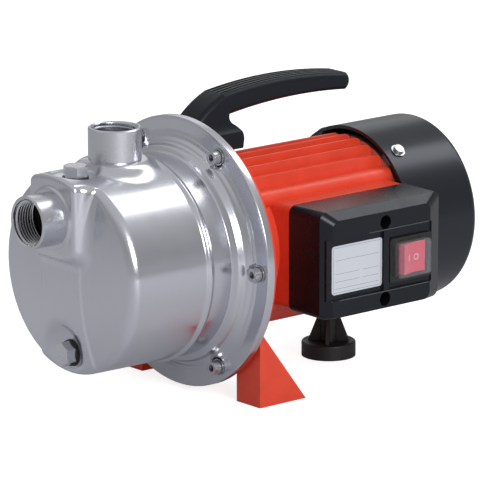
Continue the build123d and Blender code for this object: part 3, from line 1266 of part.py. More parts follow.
def switch_frame():
    """The switch's flange and body, with the pit that the rocker sits in."""
    seat = BOX_FACE + WINDOW_DEPTH
    face = seat - SWITCH_FLANGE
    flange = switch_block(face, seat, SWITCH_FLANGE_LENGTH, SWITCH_FLANGE_HEIGHT)
    flange = fillet(flange.edges().filter_by(Axis.Y), LABEL_CORNER)
    body = switch_block(seat, seat + SWITCH_BODY_DEPTH, SWITCH_BODY_LENGTH - RUNNING_GAP,
                        SWITCH_BODY_HEIGHT - RUNNING_GAP)
    pit_length = ROCKER_LENGTH + 2 * ROCKER_END_GAP
    pit_height = ROCKER_HEIGHT + 2 * ROCKER_SIDE_GAP
    pit = switch_block(face, face + 2 * ROCKER_PIVOT_DEPTH, pit_length, pit_height)
    reach = pit_height / 2 + ROCKER_PIN
    pivot = rod_z(SWITCH_Z - reach, SWITCH_Z + reach, ROCKER_PIN_RADIUS + RUNNING_GAP, SWITCH_X,
                  rocker_pivot_y())
    return flange + body - pit - pivot


def rocker_pivot_y():
    """How far out from the shaft plane the rocker turns."""
    return BOX_FACE + WINDOW_DEPTH - SWITCH_FLANGE + ROCKER_PIVOT_DEPTH


def rocker():
    """The rocker, drawn level and then laid over onto its off stop."""
    pivot = rocker_pivot_y()
    face = BOX_FACE + WINDOW_DEPTH - SWITCH_FLANGE
    half = ROCKER_LENGTH / 2
    dish = ThreePointArc((-half, -ROCKER_RISE), (0, -ROCKER_RISE / 3), (half, -ROCKER_RISE))
    skirt = Polyline((half, -ROCKER_RISE), (half, ROCKER_PIVOT_DEPTH - 1), (0, ROCKER_PIVOT_DEPTH + 2),
                     (-half, ROCKER_PIVOT_DEPTH - 1), (-half, -ROCKER_RISE))
    outline = make_face(dish + skirt)
    cap = extrude(Pos(SWITCH_X, face, SWITCH_Z - ROCKER_HEIGHT / 2) * outline, ROCKER_HEIGHT)
    reach = ROCKER_HEIGHT / 2 + ROCKER_SIDE_GAP + ROCKER_PIN - RUNNING_GAP
    cap += rod_z(SWITCH_Z - reach, SWITCH_Z + reach, ROCKER_PIN_RADIUS, SWITCH_X, pivot)
    return cap.rotate(Axis((SWITCH_X, pivot, 0), (0, 0, 1)), ROCKER_TILT)


def switch_hood():
    """The clear soft hood over the rocker."""
    face = BOX_FACE + WINDOW_DEPTH - SWITCH_FLANGE
    outer = switch_block(face - HOOD_RISE, face, HOOD_LENGTH, HOOD_HEIGHT)
    outer = fillet(outer.edges().filter_by(Axis.Y), 3)
    outer = fillet(outer.faces().sort_by(Axis.Y)[0].edges(), 2)
    inner = switch_block(face - HOOD_RISE + HOOD_WALL, face, HOOD_LENGTH - 2 * HOOD_WALL,
                         HOOD_HEIGHT - 2 * HOOD_WALL)
    inner = fillet(inner.edges().filter_by(Axis.Y), 3 - HOOD_WALL)
    inner = fillet(inner.faces().sort_by(Axis.Y)[0].edges(), 2 - HOOD_WALL)
    return outer - inner


def capacitor():
    """The motor's run capacitor, lying along the box."""
    rear = CAPACITOR_FRONT + CAPACITOR_LENGTH
    can = rod_x(CAPACITOR_FRONT, rear, CAPACITOR_RADIUS, CAPACITOR_Y, CAPACITOR_Z)
    return fillet(can.edges().filter_by(GeomType.CIRCLE), 1.5)


def capacitor_clip():
    """The band that holds the capacitor to the pad."""
    middle = CAPACITOR_FRONT + CAPACITOR_LENGTH / 2
    front = middle - CLIP_WIDTH / 2
    rear = middle + CLIP_WIDTH / 2
    band = rod_x(front, rear, CAPACITOR_RADIUS + CLIP_WALL, CAPACITOR_Y, CAPACITOR_Z)
    floor = BOX_BACK + PAD_POCKET
    band += block((front, rear), (CAPACITOR_Y, floor), (CAPACITOR_Z - 3, CAPACITOR_Z + 3))
    return band - rod_x(front, rear, CAPACITOR_RADIUS, CAPACITOR_Y, CAPACITOR_Z)


def terminal_block():
    """The terminal strip on the pad, with its screw wells."""
    floor = BOX_BACK + PAD_POCKET
    rear = TERMINALS_FRONT + TERMINALS_LENGTH
    low = SWITCH_Z - TERMINALS_HEIGHT / 2
    strip = block((TERMINALS_FRONT, rear), (floor - TERMINALS_DEPTH, floor), (low, low + TERMINALS_HEIGHT))
    pitch = TERMINALS_LENGTH / TERMINAL_WELLS
    for number in range(TERMINAL_WELLS):
        x = TERMINALS_FRONT + pitch * (number + 0.5)
        top = floor - TERMINALS_DEPTH
        strip -= rod_y(top, top + TERMINALS_DEPTH / 2, TERMINAL_WELL_RADIUS, x, SWITCH_Z)
    return strip


def at_inlet(shape):
    """A shape drawn upright on the origin, set on the cable hole and pointing rearwards."""
    return Pos(BOX_REAR, INLET_Y, INLET_Z) * Rot(0, 90, 0) * shape


def cable_bush():
    """The strain-relief bush that the mains lead enters by."""
    inside = BOX_WALL + BUSH_NUT + 1
    body = [(CABLE_RADIUS, -inside), (BUSH_NECK_RADIUS, -inside), (BUSH_NECK_RADIUS, 0),
            (BUSH_FLANGE_RADIUS, 0), (BUSH_FLANGE_RADIUS, BUSH_FLANGE), (BUSH_NECK_RADIUS, BUSH_FLANGE),
            (BUSH_NOSE_RADIUS, BUSH_NOSE), (CABLE_RADIUS, BUSH_NOSE)]
    return at_inlet(revolve(Plane.XZ * Polygon(*body, align=None), Axis.Z))


def bush_nut():
    """The nut that holds the bush from inside the box."""
    nut = Pos(0, 0, -BOX_WALL - BUSH_NUT) * hex_bar(BUSH_NUT, BUSH_NUT_HEX)
    return at_inlet(nut - rod_z(-BOX_WALL - BUSH_NUT, -BOX_WALL, BUSH_NECK_RADIUS))


NODES = {
    "pump_casing": pump_casing,
    "suction_socket": suction_socket,
    "discharge_socket": discharge_socket,
    "plug_bushes": plug_bushes,
    "filling_plug": lambda: at_filling(plug()),
    "filling_plug_seal": lambda: at_filling(plug_seal()),
    "drain_plug": lambda: at_drain(plug()),
    "drain_plug_seal": lambda: at_drain(plug_seal()),
    "casing_screws": lambda: screw_ring(casing_screw()),
    "casing_washers": lambda: screw_ring(casing_washer()),
    "casing_seal": casing_seal,
    "back_plate": back_plate,
    "seal_seat": seal_seat,
    "seal_head": seal_head,
    "slinger": slinger,
    "shaft": shaft,
    "impeller": impeller,
    "impeller_nut": impeller_nut,
    "diffuser": diffuser,
    "jet_tube": jet_tube,
    "jet_nozzle": jet_nozzle,
    "jet_chamber": jet_chamber,
    "motor_bracket": motor_bracket,
    "motor_housing": motor_housing,
    "front_bearing_outer": lambda: bearing_outer(FRONT_BEARING_X),
    "front_bearing_inner": lambda: bearing_inner(FRONT_BEARING_X),
    "front_ball_cage": lambda: ball_cage(FRONT_BEARING_X),
    "rear_bearing_outer": lambda: bearing_outer(REAR_BEARING_X),
    "rear_bearing_inner": lambda: bearing_inner(REAR_BEARING_X),
    "rear_ball_cage": lambda: ball_cage(REAR_BEARING_X),
    "wave_washer": wave_washer,
    "stator_core": stator_core,
    "stator_windings": stator_windings,
    "rotor_core": rotor_core,
    "rotor_end_rings": rotor_end_rings,
    "rear_shield": rear_shield,
    "tie_bolts": tie_bolts,
    "fan": fan,
    "fan_clip": fan_clip,
    "fan_cover": fan_cover,
    "fan_cover_screws": fan_cover_screws,
    "fan_cover_washers": fan_cover_washers,
    "rear_foot": rear_foot,
    "rear_foot_stud": rear_foot_stud,
    "handle": handle,
    "handle_screws": handle_screws,
    "terminal_box": terminal_box,
    "box_gasket": box_gasket,
    "box_screws": box_screws,
    "label_plate": label_plate,
    "switch_frame": switch_frame,
    "rocker": rocker,
    "switch_hood": switch_hood,
    "capacitor": capacitor,
    "capacitor_clip": capacitor_clip,
    "terminal_block": terminal_block,
    "cable_bush": cable_bush,
    "bush_nut": bush_nut,
}


def solids_of(shape):
    """The solids of a shape, or of each shape in a list."""
    if isinstance(shape, list):
        return [solid for item in shape for solid in item.solids()]
    return shape.solids()


def write_parts():
    """Write each node, moved from the shaft axis to the frame of the front feet."""
    os.makedirs("parts", exist_ok=True)
    to_row = Pos(-FOOT_HOLE_BACK, 0, AXIS_HEIGHT)
    for name, make in NODES.items():
        placed = [to_row * solid for solid in solids_of(make())]
        node = Compound(children=placed) if len(placed) > 1 else placed[0]
        node.label = name
        export_step(node, f"parts/{name}.step")


write_parts()
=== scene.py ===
# %% [markdown]
# A garden jet pump, dressed for its portrait. The measured model comes first as a fixed frame: every
# housing, screw and shaft is already at its real size and place, in metres. The cells that follow give
# each piece its real finish and add what the eye expects to see.

# %% Load the measured model
from math import cos, hypot, pi, radians, sin

import bmesh
import bpy
import numpy as np
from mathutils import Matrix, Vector


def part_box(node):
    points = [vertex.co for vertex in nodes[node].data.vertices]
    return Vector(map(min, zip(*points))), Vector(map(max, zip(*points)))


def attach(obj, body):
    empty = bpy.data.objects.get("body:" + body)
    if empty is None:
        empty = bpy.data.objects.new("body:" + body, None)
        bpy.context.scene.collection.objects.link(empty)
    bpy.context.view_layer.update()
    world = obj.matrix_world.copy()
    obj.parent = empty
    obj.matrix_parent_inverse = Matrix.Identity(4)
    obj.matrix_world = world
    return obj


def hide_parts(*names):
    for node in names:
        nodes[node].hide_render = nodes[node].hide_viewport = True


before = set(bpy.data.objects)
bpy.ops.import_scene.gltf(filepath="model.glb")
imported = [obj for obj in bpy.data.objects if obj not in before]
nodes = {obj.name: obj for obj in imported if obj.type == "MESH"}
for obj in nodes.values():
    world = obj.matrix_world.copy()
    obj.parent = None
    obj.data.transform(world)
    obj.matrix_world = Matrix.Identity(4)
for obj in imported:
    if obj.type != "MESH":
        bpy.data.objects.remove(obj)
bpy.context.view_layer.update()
print("nodes in the frame:", len(nodes))

# %% [markdown]
# The pump is easiest to think about from its shaft. On the bench you would measure everything from the
# shaft's centre line and from the rear face of the casing flange, so this helper takes millimetres
# measured that way and gives back metres in the frame that the model stands in.

# %% Measure from the shaft
MM = 0.001
FOOT_HOLE_BACK = 22.0
AXIS_HEIGHT = 103.5


def from_shaft(x, y, z):
    """A point in metres, from millimetres behind the flange, across, and above the shaft."""
    return Vector(((x - FOOT_HOLE_BACK) * MM, y * MM, (z + AXIS_HEIGHT) * MM))


shaft_low, shaft_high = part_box("shaft")
print("shaft centre height:", round((shaft_low[2] + shaft_high[2]) / 2, 4))

# %% [markdown]
# The camera stands about three and a half metres away with a long lens, the way product pictures are
# taken, so that the round flange stays nearly round. Its place was worked out from the ellipses of the
# ports, flange and fan cover. Setting it first means that every later choice can be judged.

# %% Camera
CAMERA_PLACE = (-2.1095, -2.5155, 0.9124)
CAMERA_TURN = -40.39
CAMERA_DIP = 13.78
LENS = 346.85
SENSOR = 36.0
FARTHEST_SEEN = 20

camera_data = bpy.data.cameras.new("portrait_camera")
camera_data.sensor_width = SENSOR
camera_data.lens = LENS
camera_data.clip_end = FARTHEST_SEEN
camera = bpy.data.objects.new("portrait_camera", camera_data)
camera.location = CAMERA_PLACE
camera.rotation_euler = (radians(90 - CAMERA_DIP), 0, radians(CAMERA_TURN))
bpy.context.scene.collection.objects.link(camera)
bpy.context.scene.camera = camera
print("camera at", CAMERA_PLACE, "with a", LENS, "mm lens")

# %% [markdown]
# A studio is a pale floor and big soft lamps. Polished steel shows nothing but its surroundings, so the
# lamps matter more than the steel: a wide bright panel above gives the white band along the drum, and
# the grey walls of the room give the calm tones below it.

# %% Floor
FLOOR_SIZE = 14.0
FLOOR_GAP = 0.0002


def flat_square(name, half, height):
    """A square sheet lying level at a height."""
    mesh = bpy.data.meshes.new(name)
    corners = [(x, y, height) for x, y in ((-half, -half), (half, -half), (half, half), (-half, half))]
    mesh.from_pydata(corners, [], [(0, 1, 2, 3)])
    sheet = bpy.data.objects.new(name, mesh)
    bpy.context.scene.collection.objects.link(sheet)
    return sheet


studio_floor = flat_square("studio_floor", FLOOR_SIZE / 2, -FLOOR_GAP)
print("floor is", FLOOR_SIZE, "metres square")

# %% Lamps
def soft_lamp(name, place, target, size, power):
    """A rectangular soft box aimed at a point."""
    data = bpy.data.lights.new(name, "AREA")
    data.shape = "RECTANGLE"
    data.size, data.size_y = size
    data.energy = power
    lamp = bpy.data.objects.new(name, data)
    lamp.location = place
    aim = Vector(target) - Vector(place)
    lamp.rotation_euler = aim.to_track_quat("-Z", "Y").to_euler()
    bpy.context.scene.collection.objects.link(lamp)
    return lamp


PUMP_MIDDLE = (0.0, 0.0, 0.1)
LAMPS = {  # where each lamp stands, its width and height in metres, and its power in watts
    "overhead_strip": ((1.25, -0.3, 1.6), (0.6, 1.5), 8),
    "front_softbox": ((-0.5, -2.6, 1.3), (1.3, 1.0), 46),
    "rear_fill": ((1.4, 2.0, 1.3), (1.6, 1.2), 3),
}
for name, (place, size, power) in LAMPS.items():
    soft_lamp(name, place, PUMP_MIDDLE, size, power)
print("lamps:", list(LAMPS))

# %% [markdown]
# The room round the pump is only a colour that changes with direction. A ramp from the floor up to the
# ceiling is enough: darker at foot level, mid grey walls, and a paler grey ceiling. The camera itself
# sees plain white behind the pump, as in a cut-out catalogue picture.

# %% Room
def new_node(tree, kind, **settings):
    """Add a shader node and set its properties and plain input values."""
    node = tree.nodes.new(kind)
    for key, value in settings.items():
        if hasattr(node, key):
            setattr(node, key, value)
        else:
            node.inputs[key.replace("_", " ")].default_value = value
    return node


def ramp(tree, stops):
    """A colour ramp from a list of (place, colour)."""
    node = tree.nodes.new("ShaderNodeValToRGB")
    elements = node.color_ramp.elements
    while len(elements) < len(stops):
        elements.new(0.5)
    for element, (place, colour) in zip(elements, stops):
        element.position = place
        element.color = (*colour, 1.0)
    return node


def grey(value):
    """A neutral colour of one brightness."""
    return (value, value, value)


ROOM_TONES = [(0.0, grey(0.20)), (0.46, grey(0.30)), (0.52, grey(0.42)), (0.62, grey(0.34)),
              (0.74, grey(0.40)), (0.86, grey(0.56)), (1.0, grey(0.58))]

room = bpy.data.worlds.new("studio_room")
bpy.context.scene.world = room
room.use_nodes = True
room_tree = room.node_tree
room_tree.nodes.clear()
room_place = new_node(room_tree, "ShaderNodeTexCoord")
room_split = new_node(room_tree, "ShaderNodeSeparateXYZ")
room_height = new_node(room_tree, "ShaderNodeMapRange", From_Min=-1.0, From_Max=1.0)
room_ramp = ramp(room_tree, ROOM_TONES)
room_light = new_node(room_tree, "ShaderNodeBackground", Strength=1.0)
room_backdrop = new_node(room_tree, "ShaderNodeBackground", Strength=1.0)
room_backdrop.inputs["Color"].default_value = (1.0, 1.0, 1.0, 1.0)
room_path = new_node(room_tree, "ShaderNodeLightPath")
room_mix = new_node(room_tree, "ShaderNodeMixShader")
room_output = new_node(room_tree, "ShaderNodeOutputWorld")
room_link = room_tree.links.new
room_link(room_place.outputs["Generated"], room_split.inputs[0])
room_link(room_split.outputs["Z"], room_height.inputs["Value"])
room_link(room_height.outputs[0], room_ramp.inputs[0])
room_link(room_ramp.outputs[0], room_light.inputs["Color"])
room_link(room_path.outputs["Is Camera Ray"], room_mix.inputs[0])
room_link(room_light.outputs[0], room_mix.inputs[1])
room_link(room_backdrop.outputs[0], room_mix.inputs[2])
room_link(room_mix.outputs[0], room_output.inputs[0])
bpy.context.scene.view_settings.view_transform = "Standard"
print("room tones:", len(ROOM_TONES))

# %% [markdown]
# The casing is one pressed stainless sheet: a domed drum with a raised waisted rib down its face, a boss
# for the suction port, a flared pad for the discharge port and two plug pockets, all melting into each
# other as drawn metal does. Boolean cuts would leave hard seams between those forms. Instead each form
# is written as a distance, the distances are joined with rounded joints, and a fine net of points is
# pulled in from outside until it touches the result.

# %% Rounded joints between forms
def keep_both(first, second, radius):
    """The part inside both forms, with its outer edge rounded."""
    a, b = np.maximum(first + radius, 0), np.maximum(second + radius, 0)
    return np.minimum(-radius, np.maximum(first, second)) + np.hypot(a, b)


def join(first, second, radius):
    """Both forms together, with a hollow fillet between them."""
    return -keep_both(-first, -second, radius)


def press_in(form, pocket, radius):
    """The form with a pocket pressed into it, with a rounded lip."""
    return keep_both(form, -pocket, radius)


print("joint test:", float(keep_both(np.array([-1.0]), np.array([0.0]), 0.5)[0]))

# %% [markdown]
# The drum comes first. Its side tapers a little, so that it can leave the press, and its front is a very
# shallow dome. The rib is the same dome moved forward and kept only between two large arcs, which give it
# its waist.

# %% Drum, dome and rib
SHEET = 2.0
DRUM_RADIUS = 75.0
DRUM_TAPER = 1.0
DRUM_FRONT = -108.0
DRUM_REAR = -18.5
DOME_NOSE = -115.0
DOME_RADIUS = 384.0
RIB_RISE = 1.6
RIB_WAIST = 22.0
RIB_ARC = 239.0
RIB_EDGE = 1.4
RIB_HOLLOW = 1.6


def dome(x, radius, rise=0.0):
    """The shallow dome that closes the drum, moved forward by a rise."""
    return np.hypot(x - DOME_NOSE - DOME_RADIUS + rise, radius) - DOME_RADIUS


def drum_side(x, radius):
    """The tapered side of the drum."""
    return radius - (DRUM_RADIUS + DRUM_TAPER * (x - DRUM_REAR) / (DRUM_REAR - DRUM_FRONT))


def ribbed_face(x, y, z, radius):
    """The dome with its waisted rib standing proud of it."""
    rib_edge = RIB_ARC - np.hypot(np.abs(y) - RIB_WAIST - RIB_ARC, z)
    rib = keep_both(dome(x, radius, RIB_RISE), rib_edge, RIB_EDGE)
    return join(dome(x, radius), rib, RIB_HOLLOW)


print("the rib is", 2 * RIB_WAIST, "mm wide at its waist")

# %% [markdown]
# The suction boss is drafted: its flanks and its underside open out toward the drum. A low round collar
# stands on it where the socket is welded. The discharge pad is a plain round table on top of the drum.

# %% Suction boss and discharge pad
BOSS_FRONT = -123.5
BOSS_HALF_WIDTH = 25.2
BOSS_FLARE = 0.15
BOSS_FOOT = 14.5
BOSS_DROP = 0.25
BOSS_CORNER = 9.0
BOSS_EDGE = 3.5
SUCTION_HEIGHT = 42.6
COLLAR_FRONT = -125.3
COLLAR_RADIUS = 22.3
COLLAR_EDGE = 1.2
COLLAR_HOLLOW = 2.0
DISCHARGE_X = -65.0
PAD_TOP = 76.0
PAD_RADIUS = 24.0
PAD_EDGE = 3.0


def suction_boss(x, y, z):
    """The drafted boss under the suction port, with a low round collar for the weld."""
    reach = x - BOSS_FRONT
    flank = np.abs(y) - BOSS_HALF_WIDTH - BOSS_FLARE * reach
    below = BOSS_FOOT - BOSS_DROP * reach - z
    boss = keep_both(keep_both(flank, below, BOSS_CORNER), -reach, BOSS_EDGE)
    collar = keep_both(np.hypot(y, z - SUCTION_HEIGHT) - COLLAR_RADIUS, COLLAR_FRONT - x, COLLAR_EDGE)
    return join(boss, collar, COLLAR_HOLLOW)


def discharge_pad(x, y, z):
    """The round pad under the discharge port."""
    pad = keep_both(np.hypot(x - DISCHARGE_X, y) - PAD_RADIUS, z - PAD_TOP, PAD_EDGE)
    return np.maximum(pad, -z)


print("the suction port is", SUCTION_HEIGHT, "mm above the shaft")
print("the discharge port is", -DISCHARGE_X, "mm ahead of the flange")

# %% [markdown]
# Both plugs sit in dished pockets. A pocket is a form of its own, a cone that stops at a flat floor, and
# it is pressed into the casing afterwards, as the die does it.

# %% Pockets for the two plugs
SEAT_TOP = 68.5
FILL_X = -101.0
SEAT_RADIUS = 12.5
SEAT_SLOPE = 1.6
SEAT_LIMIT = 17.0
SEAT_EDGE = 3.0
DRAIN_HEIGHT = -59.0
DRAIN_SEAT = -106.5
DRAIN_RADIUS = 14.0
DRAIN_SLOPE = 1.2
DRAIN_SLANT = 1.56
DRAIN_EDGE = 5.0


def filling_seat(x, y, z):
    """The dished seat of the filling plug, sunk into the top of the boss."""
    away = np.hypot(x - FILL_X, y)
    dish = (away - SEAT_RADIUS - SEAT_SLOPE * (z - SEAT_TOP)) / hypot(1, SEAT_SLOPE)
    return keep_both(keep_both(dish, away - SEAT_LIMIT, SEAT_EDGE), SEAT_TOP - z, SEAT_EDGE)


def drain_pocket(x, y, z):
    """The dished pocket round the drain plug."""
    away = np.hypot(y, z - DRAIN_HEIGHT)
    cone = (away - DRAIN_RADIUS - DRAIN_SLOPE * (DRAIN_SEAT - x)) / DRAIN_SLANT
    return keep_both(cone, x - DRAIN_SEAT, DRAIN_EDGE)


print("plug seats are", SEAT_RADIUS, "and", DRAIN_RADIUS, "mm in radius")

# %% [markdown]
# Now the forms meet. The front edge of the drum is generously round, but tightens to the suction boss's
# own edge where the two run together. A small bead goes round the drum near its rear end, to stiffen it.

# %% The whole casing
BOSS_HOLLOW = 8.0
DRUM_EDGE = 6.5
TIGHT_UNTIL = 48.0
TIGHT_FADE = 30.0
PAD_HOLLOW = 12.0
SEAT_LIP = 5.0
DRAIN_LIP = 2.5
BEAD_X = -38.5
BEAD_SINK = 0.7
BEAD_RADIUS = 2.2
BEAD_HOLLOW = 1.5


def casing_distance(x, y, z):
    """How far a point is outside the pressed casing, in millimetres."""
    radius = np.hypot(y, z)
    front = join(ribbed_face(x, y, z, radius), suction_boss(x, y, z), BOSS_HOLLOW)
    near_boss = np.clip((TIGHT_UNTIL - np.abs(y)) / TIGHT_FADE, 0, 1) * (z > 0)
    form = keep_both(front, drum_side(x, radius), DRUM_EDGE - (DRUM_EDGE - BOSS_EDGE) * near_boss)
    form = join(form, discharge_pad(x, y, z), PAD_HOLLOW)
    form = press_in(form, filling_seat(x, y, z), SEAT_LIP)
    form = press_in(form, drain_pocket(x, y, z), DRAIN_LIP)
    bead = np.hypot(x - BEAD_X, radius - DRUM_RADIUS + BEAD_SINK) - BEAD_RADIUS
    return join(form, bead, BEAD_HOLLOW)


rib_nose = np.array([[DOME_NOSE - RIB_RISE], [0.0], [0.0]])
print("distance at the nose of the rib:", float(casing_distance(*rib_nose)[0]))

# %% [markdown]
# The net is woven ring by ring: first across the face, then round the edge, then along the drum. Each
# knot starts well outside and walks inward by most of its own distance, again and again, until it
# touches the metal.

# %% Pull a net onto the casing
NET_AROUND = 600
EDGE_RINGS = 200
NET_STEP = 0.85
NET_REACH = 60.0
NET_REAR_GAP = 0.4
CORE_FRONT = -88.0
CORE_RADIUS = 45.0
WALKS = 70
WALK_SHARE = 0.8


def net_starts():
    """Where each ring of the net starts, as (x, radius, way along x, way outward)."""
    face = [(CORE_FRONT, radius, -1.0, 0.0) for radius in np.arange(NET_STEP, CORE_RADIUS, NET_STEP)]
    turns = np.linspace(0, pi / 2, EDGE_RINGS)
    edge = [(CORE_FRONT, CORE_RADIUS, -cos(turn), sin(turn)) for turn in turns]
    places = np.arange(CORE_FRONT + NET_STEP, DRUM_REAR - NET_REAR_GAP, NET_STEP)
    drum = [(x, CORE_RADIUS, 0.0, 1.0) for x in places]
    return np.array(face + edge + drum)


def pull_net(starts):
    """Walk every knot inward until it rests on the casing."""
    turns = np.linspace(0, 2 * pi, NET_AROUND, endpoint=False)
    across, up = np.cos(turns)[None, :], np.sin(turns)[None, :]
    x0, r0, dx, dr = (starts[:, column][:, None] for column in range(4))
    travel = np.full((len(starts), NET_AROUND), NET_REACH)
    for _ in range(WALKS):
        radius = r0 + dr * travel
        gap = casing_distance(x0 + dx * travel, radius * across, radius * up)
        travel -= WALK_SHARE * gap
    radius = r0 + dr * travel
    return np.stack([x0 + dx * travel, radius * across, radius * up], axis=2)


drum_net = pull_net(net_starts())
print("rings on the drum:", len(drum_net), "knots in a ring:", NET_AROUND)

# %% [markdown]
# After the drum come the rings of the stepped flange. They are plain turned shapes, so no distance is
# needed. Each ring has one radius, and is drawn back to a flat wherever a screw head will sit.

# %% Rings of the stepped flange
FLANGE_SKIN = [(-18.5, 75.0), (-17.3, 76.6), (-16.4, 78.6), (-15.2, 79.4), (-12.0, 80.1), (-10.6, 80.8),
               (-10.0, 82.0), (-9.4, 83.2), (-8.0, 84.2), (-7.4, 85.2), (-7.2, 86.6), (-6.6, 87.4),
               (-6.0, 88.2), (-6.0, 91.0), (-6.0, 94.0), (-6.0, 97.0), (-6.0, 99.0), (-5.7, 99.7),
               (-5.0, 100.0), (-2.5, 100.0), (0.0, 100.0)]
SCREW_RING = 90.0
SCREWS = 6
FLAT_FACE = -6.0
FLAT_REACH = 8.0
FLAT_FADE = 1.4
FLATS_FROM_RADIUS = 80


def flange_rings():
    """The turned rings of the flange, brought to flats at the six screws."""
    turns = np.linspace(0, 2 * pi, NET_AROUND, endpoint=False)
    spacing = 2 * pi / SCREWS
    off_screw = (turns + pi + spacing / 2) % spacing - spacing / 2
    rings = []
    for x, radius in FLANGE_SKIN:
        away = np.hypot(radius * np.cos(off_screw) - SCREW_RING, radius * np.sin(off_screw))
        flat = np.clip((FLAT_REACH - away) / FLAT_FADE, 0, 1) * (radius > FLATS_FROM_RADIUS)
        flat = flat * flat * (3 - 2 * flat)
        place = np.maximum(x, x + (FLAT_FACE - x) * flat)
        rings.append(np.stack([place, radius * np.cos(turns), radius * np.sin(turns)], axis=1))
    return np.array(rings)


casing_net = np.concatenate([drum_net, flange_rings()])
print("rings with the flange:", len(casing_net))

# %% [markdown]
# Polished steel shows every facet, so each knot also gets the true direction of the surface: the slope
# of the distance on the drum, and the cross of the neighbouring rings on the flange. The same directions
# carry a second skin two millimetres further in, which is the inside of the sheet.

# %% Directions and the inner skin
SMALL_STEP = 0.04


def slopes(points):
    """Unit directions in which the casing distance grows fastest."""
    parts = []
    for axis in range(3):
        shift = np.zeros(3)
        shift[axis] = SMALL_STEP
        ahead, behind = points + shift, points - shift
        parts.append(casing_distance(ahead[..., 0], ahead[..., 1], ahead[..., 2])
                     - casing_distance(behind[..., 0], behind[..., 1], behind[..., 2]))
    slope = np.stack(parts, axis=-1)
    return slope / np.linalg.norm(slope, axis=-1, keepdims=True)


def net_directions(net):
    """Unit directions square to a net of rings, pointing outward."""
    along = np.gradient(net, axis=0)
    round_ring = np.roll(net, -1, axis=1) - np.roll(net, 1, axis=1)
    square = np.cross(round_ring, along)
    return square / np.linalg.norm(square, axis=-1, keepdims=True)


directions = net_directions(casing_net)
directions[:len(drum_net)] = slopes(drum_net)
inner_net = casing_net - SHEET * directions
print("sheet thickness:", SHEET, "mm")

# %% [markdown]
# A net becomes a mesh when its knots are numbered ring by ring and every four neighbours share a face.
# Each new piece also says which body it rides on, so that it moves right in every pose.

# %% From a net to a piece
def to_metres(points):
    """Rows of millimetres from the shaft, as rows of metres in the frame."""
    return (np.asarray(points) + np.array([-FOOT_HOLE_BACK, 0.0, AXIS_HEIGHT])) * MM


def ring_faces(rings, around):
    """Quads between closed rings of points, numbered ring by ring."""
    faces = []
    for ring in range(rings - 1):
        low = ring * around
        for turn in range(around):
            after = (turn + 1) % around
            faces.append((low + turn, low + after, low + around + after, low + around + turn))
    return faces


def new_piece(name, points, faces, body="pump", directions=None):
    """A smooth mesh piece in metres that rides on a body."""
    mesh = bpy.data.meshes.new(name)
    mesh.from_pydata(np.asarray(points).tolist(), [], np.asarray(faces).tolist())
    mesh.polygons.foreach_set("use_smooth", [True] * len(mesh.polygons))
    if directions is not None:
        mesh.normals_split_custom_set_from_vertices(directions.tolist())
    piece = bpy.data.objects.new(name, mesh)
    bpy.context.scene.collection.objects.link(piece)
    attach(piece, body)
    return piece


print("faces between two rings:", len(ring_faces(2, NET_AROUND)))

# %% [markdown]
# Where a hole is wanted, the faces inside it are dropped, and the knots at its edge are drawn onto a true
# circle. The inner skin gets the same holes, because both skins share one numbering.

# %% Holes for ports and plugs
PORT_HOLE = 17.9
PLUG_HOLE = 6.6

# Each hole: its span along the shaft or upward, its centre in the plane across that, and its radius
HOLES = [
    ("x", (BOSS_FRONT - 3, BOSS_FRONT + 1), (0.0, SUCTION_HEIGHT), PORT_HOLE),
    ("x", (DRAIN_SEAT - 1, DRAIN_SEAT + 1), (0.0, DRAIN_HEIGHT), PLUG_HOLE),
    ("z", (PAD_TOP - 2, PAD_TOP + 1), (DISCHARGE_X, 0.0), PORT_HOLE),
    ("z", (SEAT_TOP - 1, SEAT_TOP + 1), (FILL_X, 0.0), PLUG_HOLE),
]


def open_holes(outer, inner, faces):
    """Drop the faces inside each hole and draw its edge onto a true circle in both skins."""
    keep = np.ones(len(faces), dtype=bool)
    for way, (low, high), centre, radius in HOLES:
        along, plane = (0, [1, 2]) if way == "x" else (2, [0, 1])
        offset = outer[:, plane] - centre
        away = np.hypot(offset[:, 0], offset[:, 1])
        inside = (away < radius) & (outer[:, along] > low) & (outer[:, along] < high)
        touched = inside[faces].any(axis=1)
        keep &= ~touched
        rim = np.setdiff1d(np.unique(faces[touched]), np.nonzero(inside)[0])
        circle = centre + offset[rim] * (radius / away[rim])[:, None]
        for skin in (outer, inner):
            skin[np.ix_(rim, plane)] = circle
    return faces[keep]


print("holes in the casing:", len(HOLES))

# %% [markdown]
# Two skins of the same net, joined at the rear rim and round each hole, make a closed sheet. It takes
# the place of the measured casing, which has the same shape with plainer joints between its forms.

# %% Casing sheet
def sheet_faces(faces, count):
    """Faces of the outer skin, the inner skin turned over, and the walls that join their open edges."""
    edges = np.stack([faces, np.roll(faces, -1, axis=1)], axis=-1).reshape(-1, 2)
    keys = edges.min(axis=1) * count + edges.max(axis=1)
    _, first, times = np.unique(keys, return_index=True, return_counts=True)
    start, end = edges[first[times == 1]].T
    walls = np.stack([end, start, start + count, end + count], axis=1)
    return np.concatenate([faces, faces[:, ::-1] + count, walls])


rings, around = casing_net.shape[:2]
outer_skin = casing_net.reshape(-1, 3)
inner_skin = inner_net.reshape(-1, 3)
nose_cap = [(turn + 1, turn, around - 1 - turn, around - 2 - turn) for turn in range(around // 2 - 1)]
skin_faces = open_holes(outer_skin, inner_skin, np.array(nose_cap + ring_faces(rings, around)))
outward = directions.reshape(-1, 3)
casing = new_piece("casing_sheet", to_metres(np.concatenate([outer_skin, inner_skin])),
                   sheet_faces(skin_faces, len(outer_skin)),
                   directions=np.concatenate([outward, -outward]))
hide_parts("pump_casing")
print("casing faces:", len(casing.data.polygons))

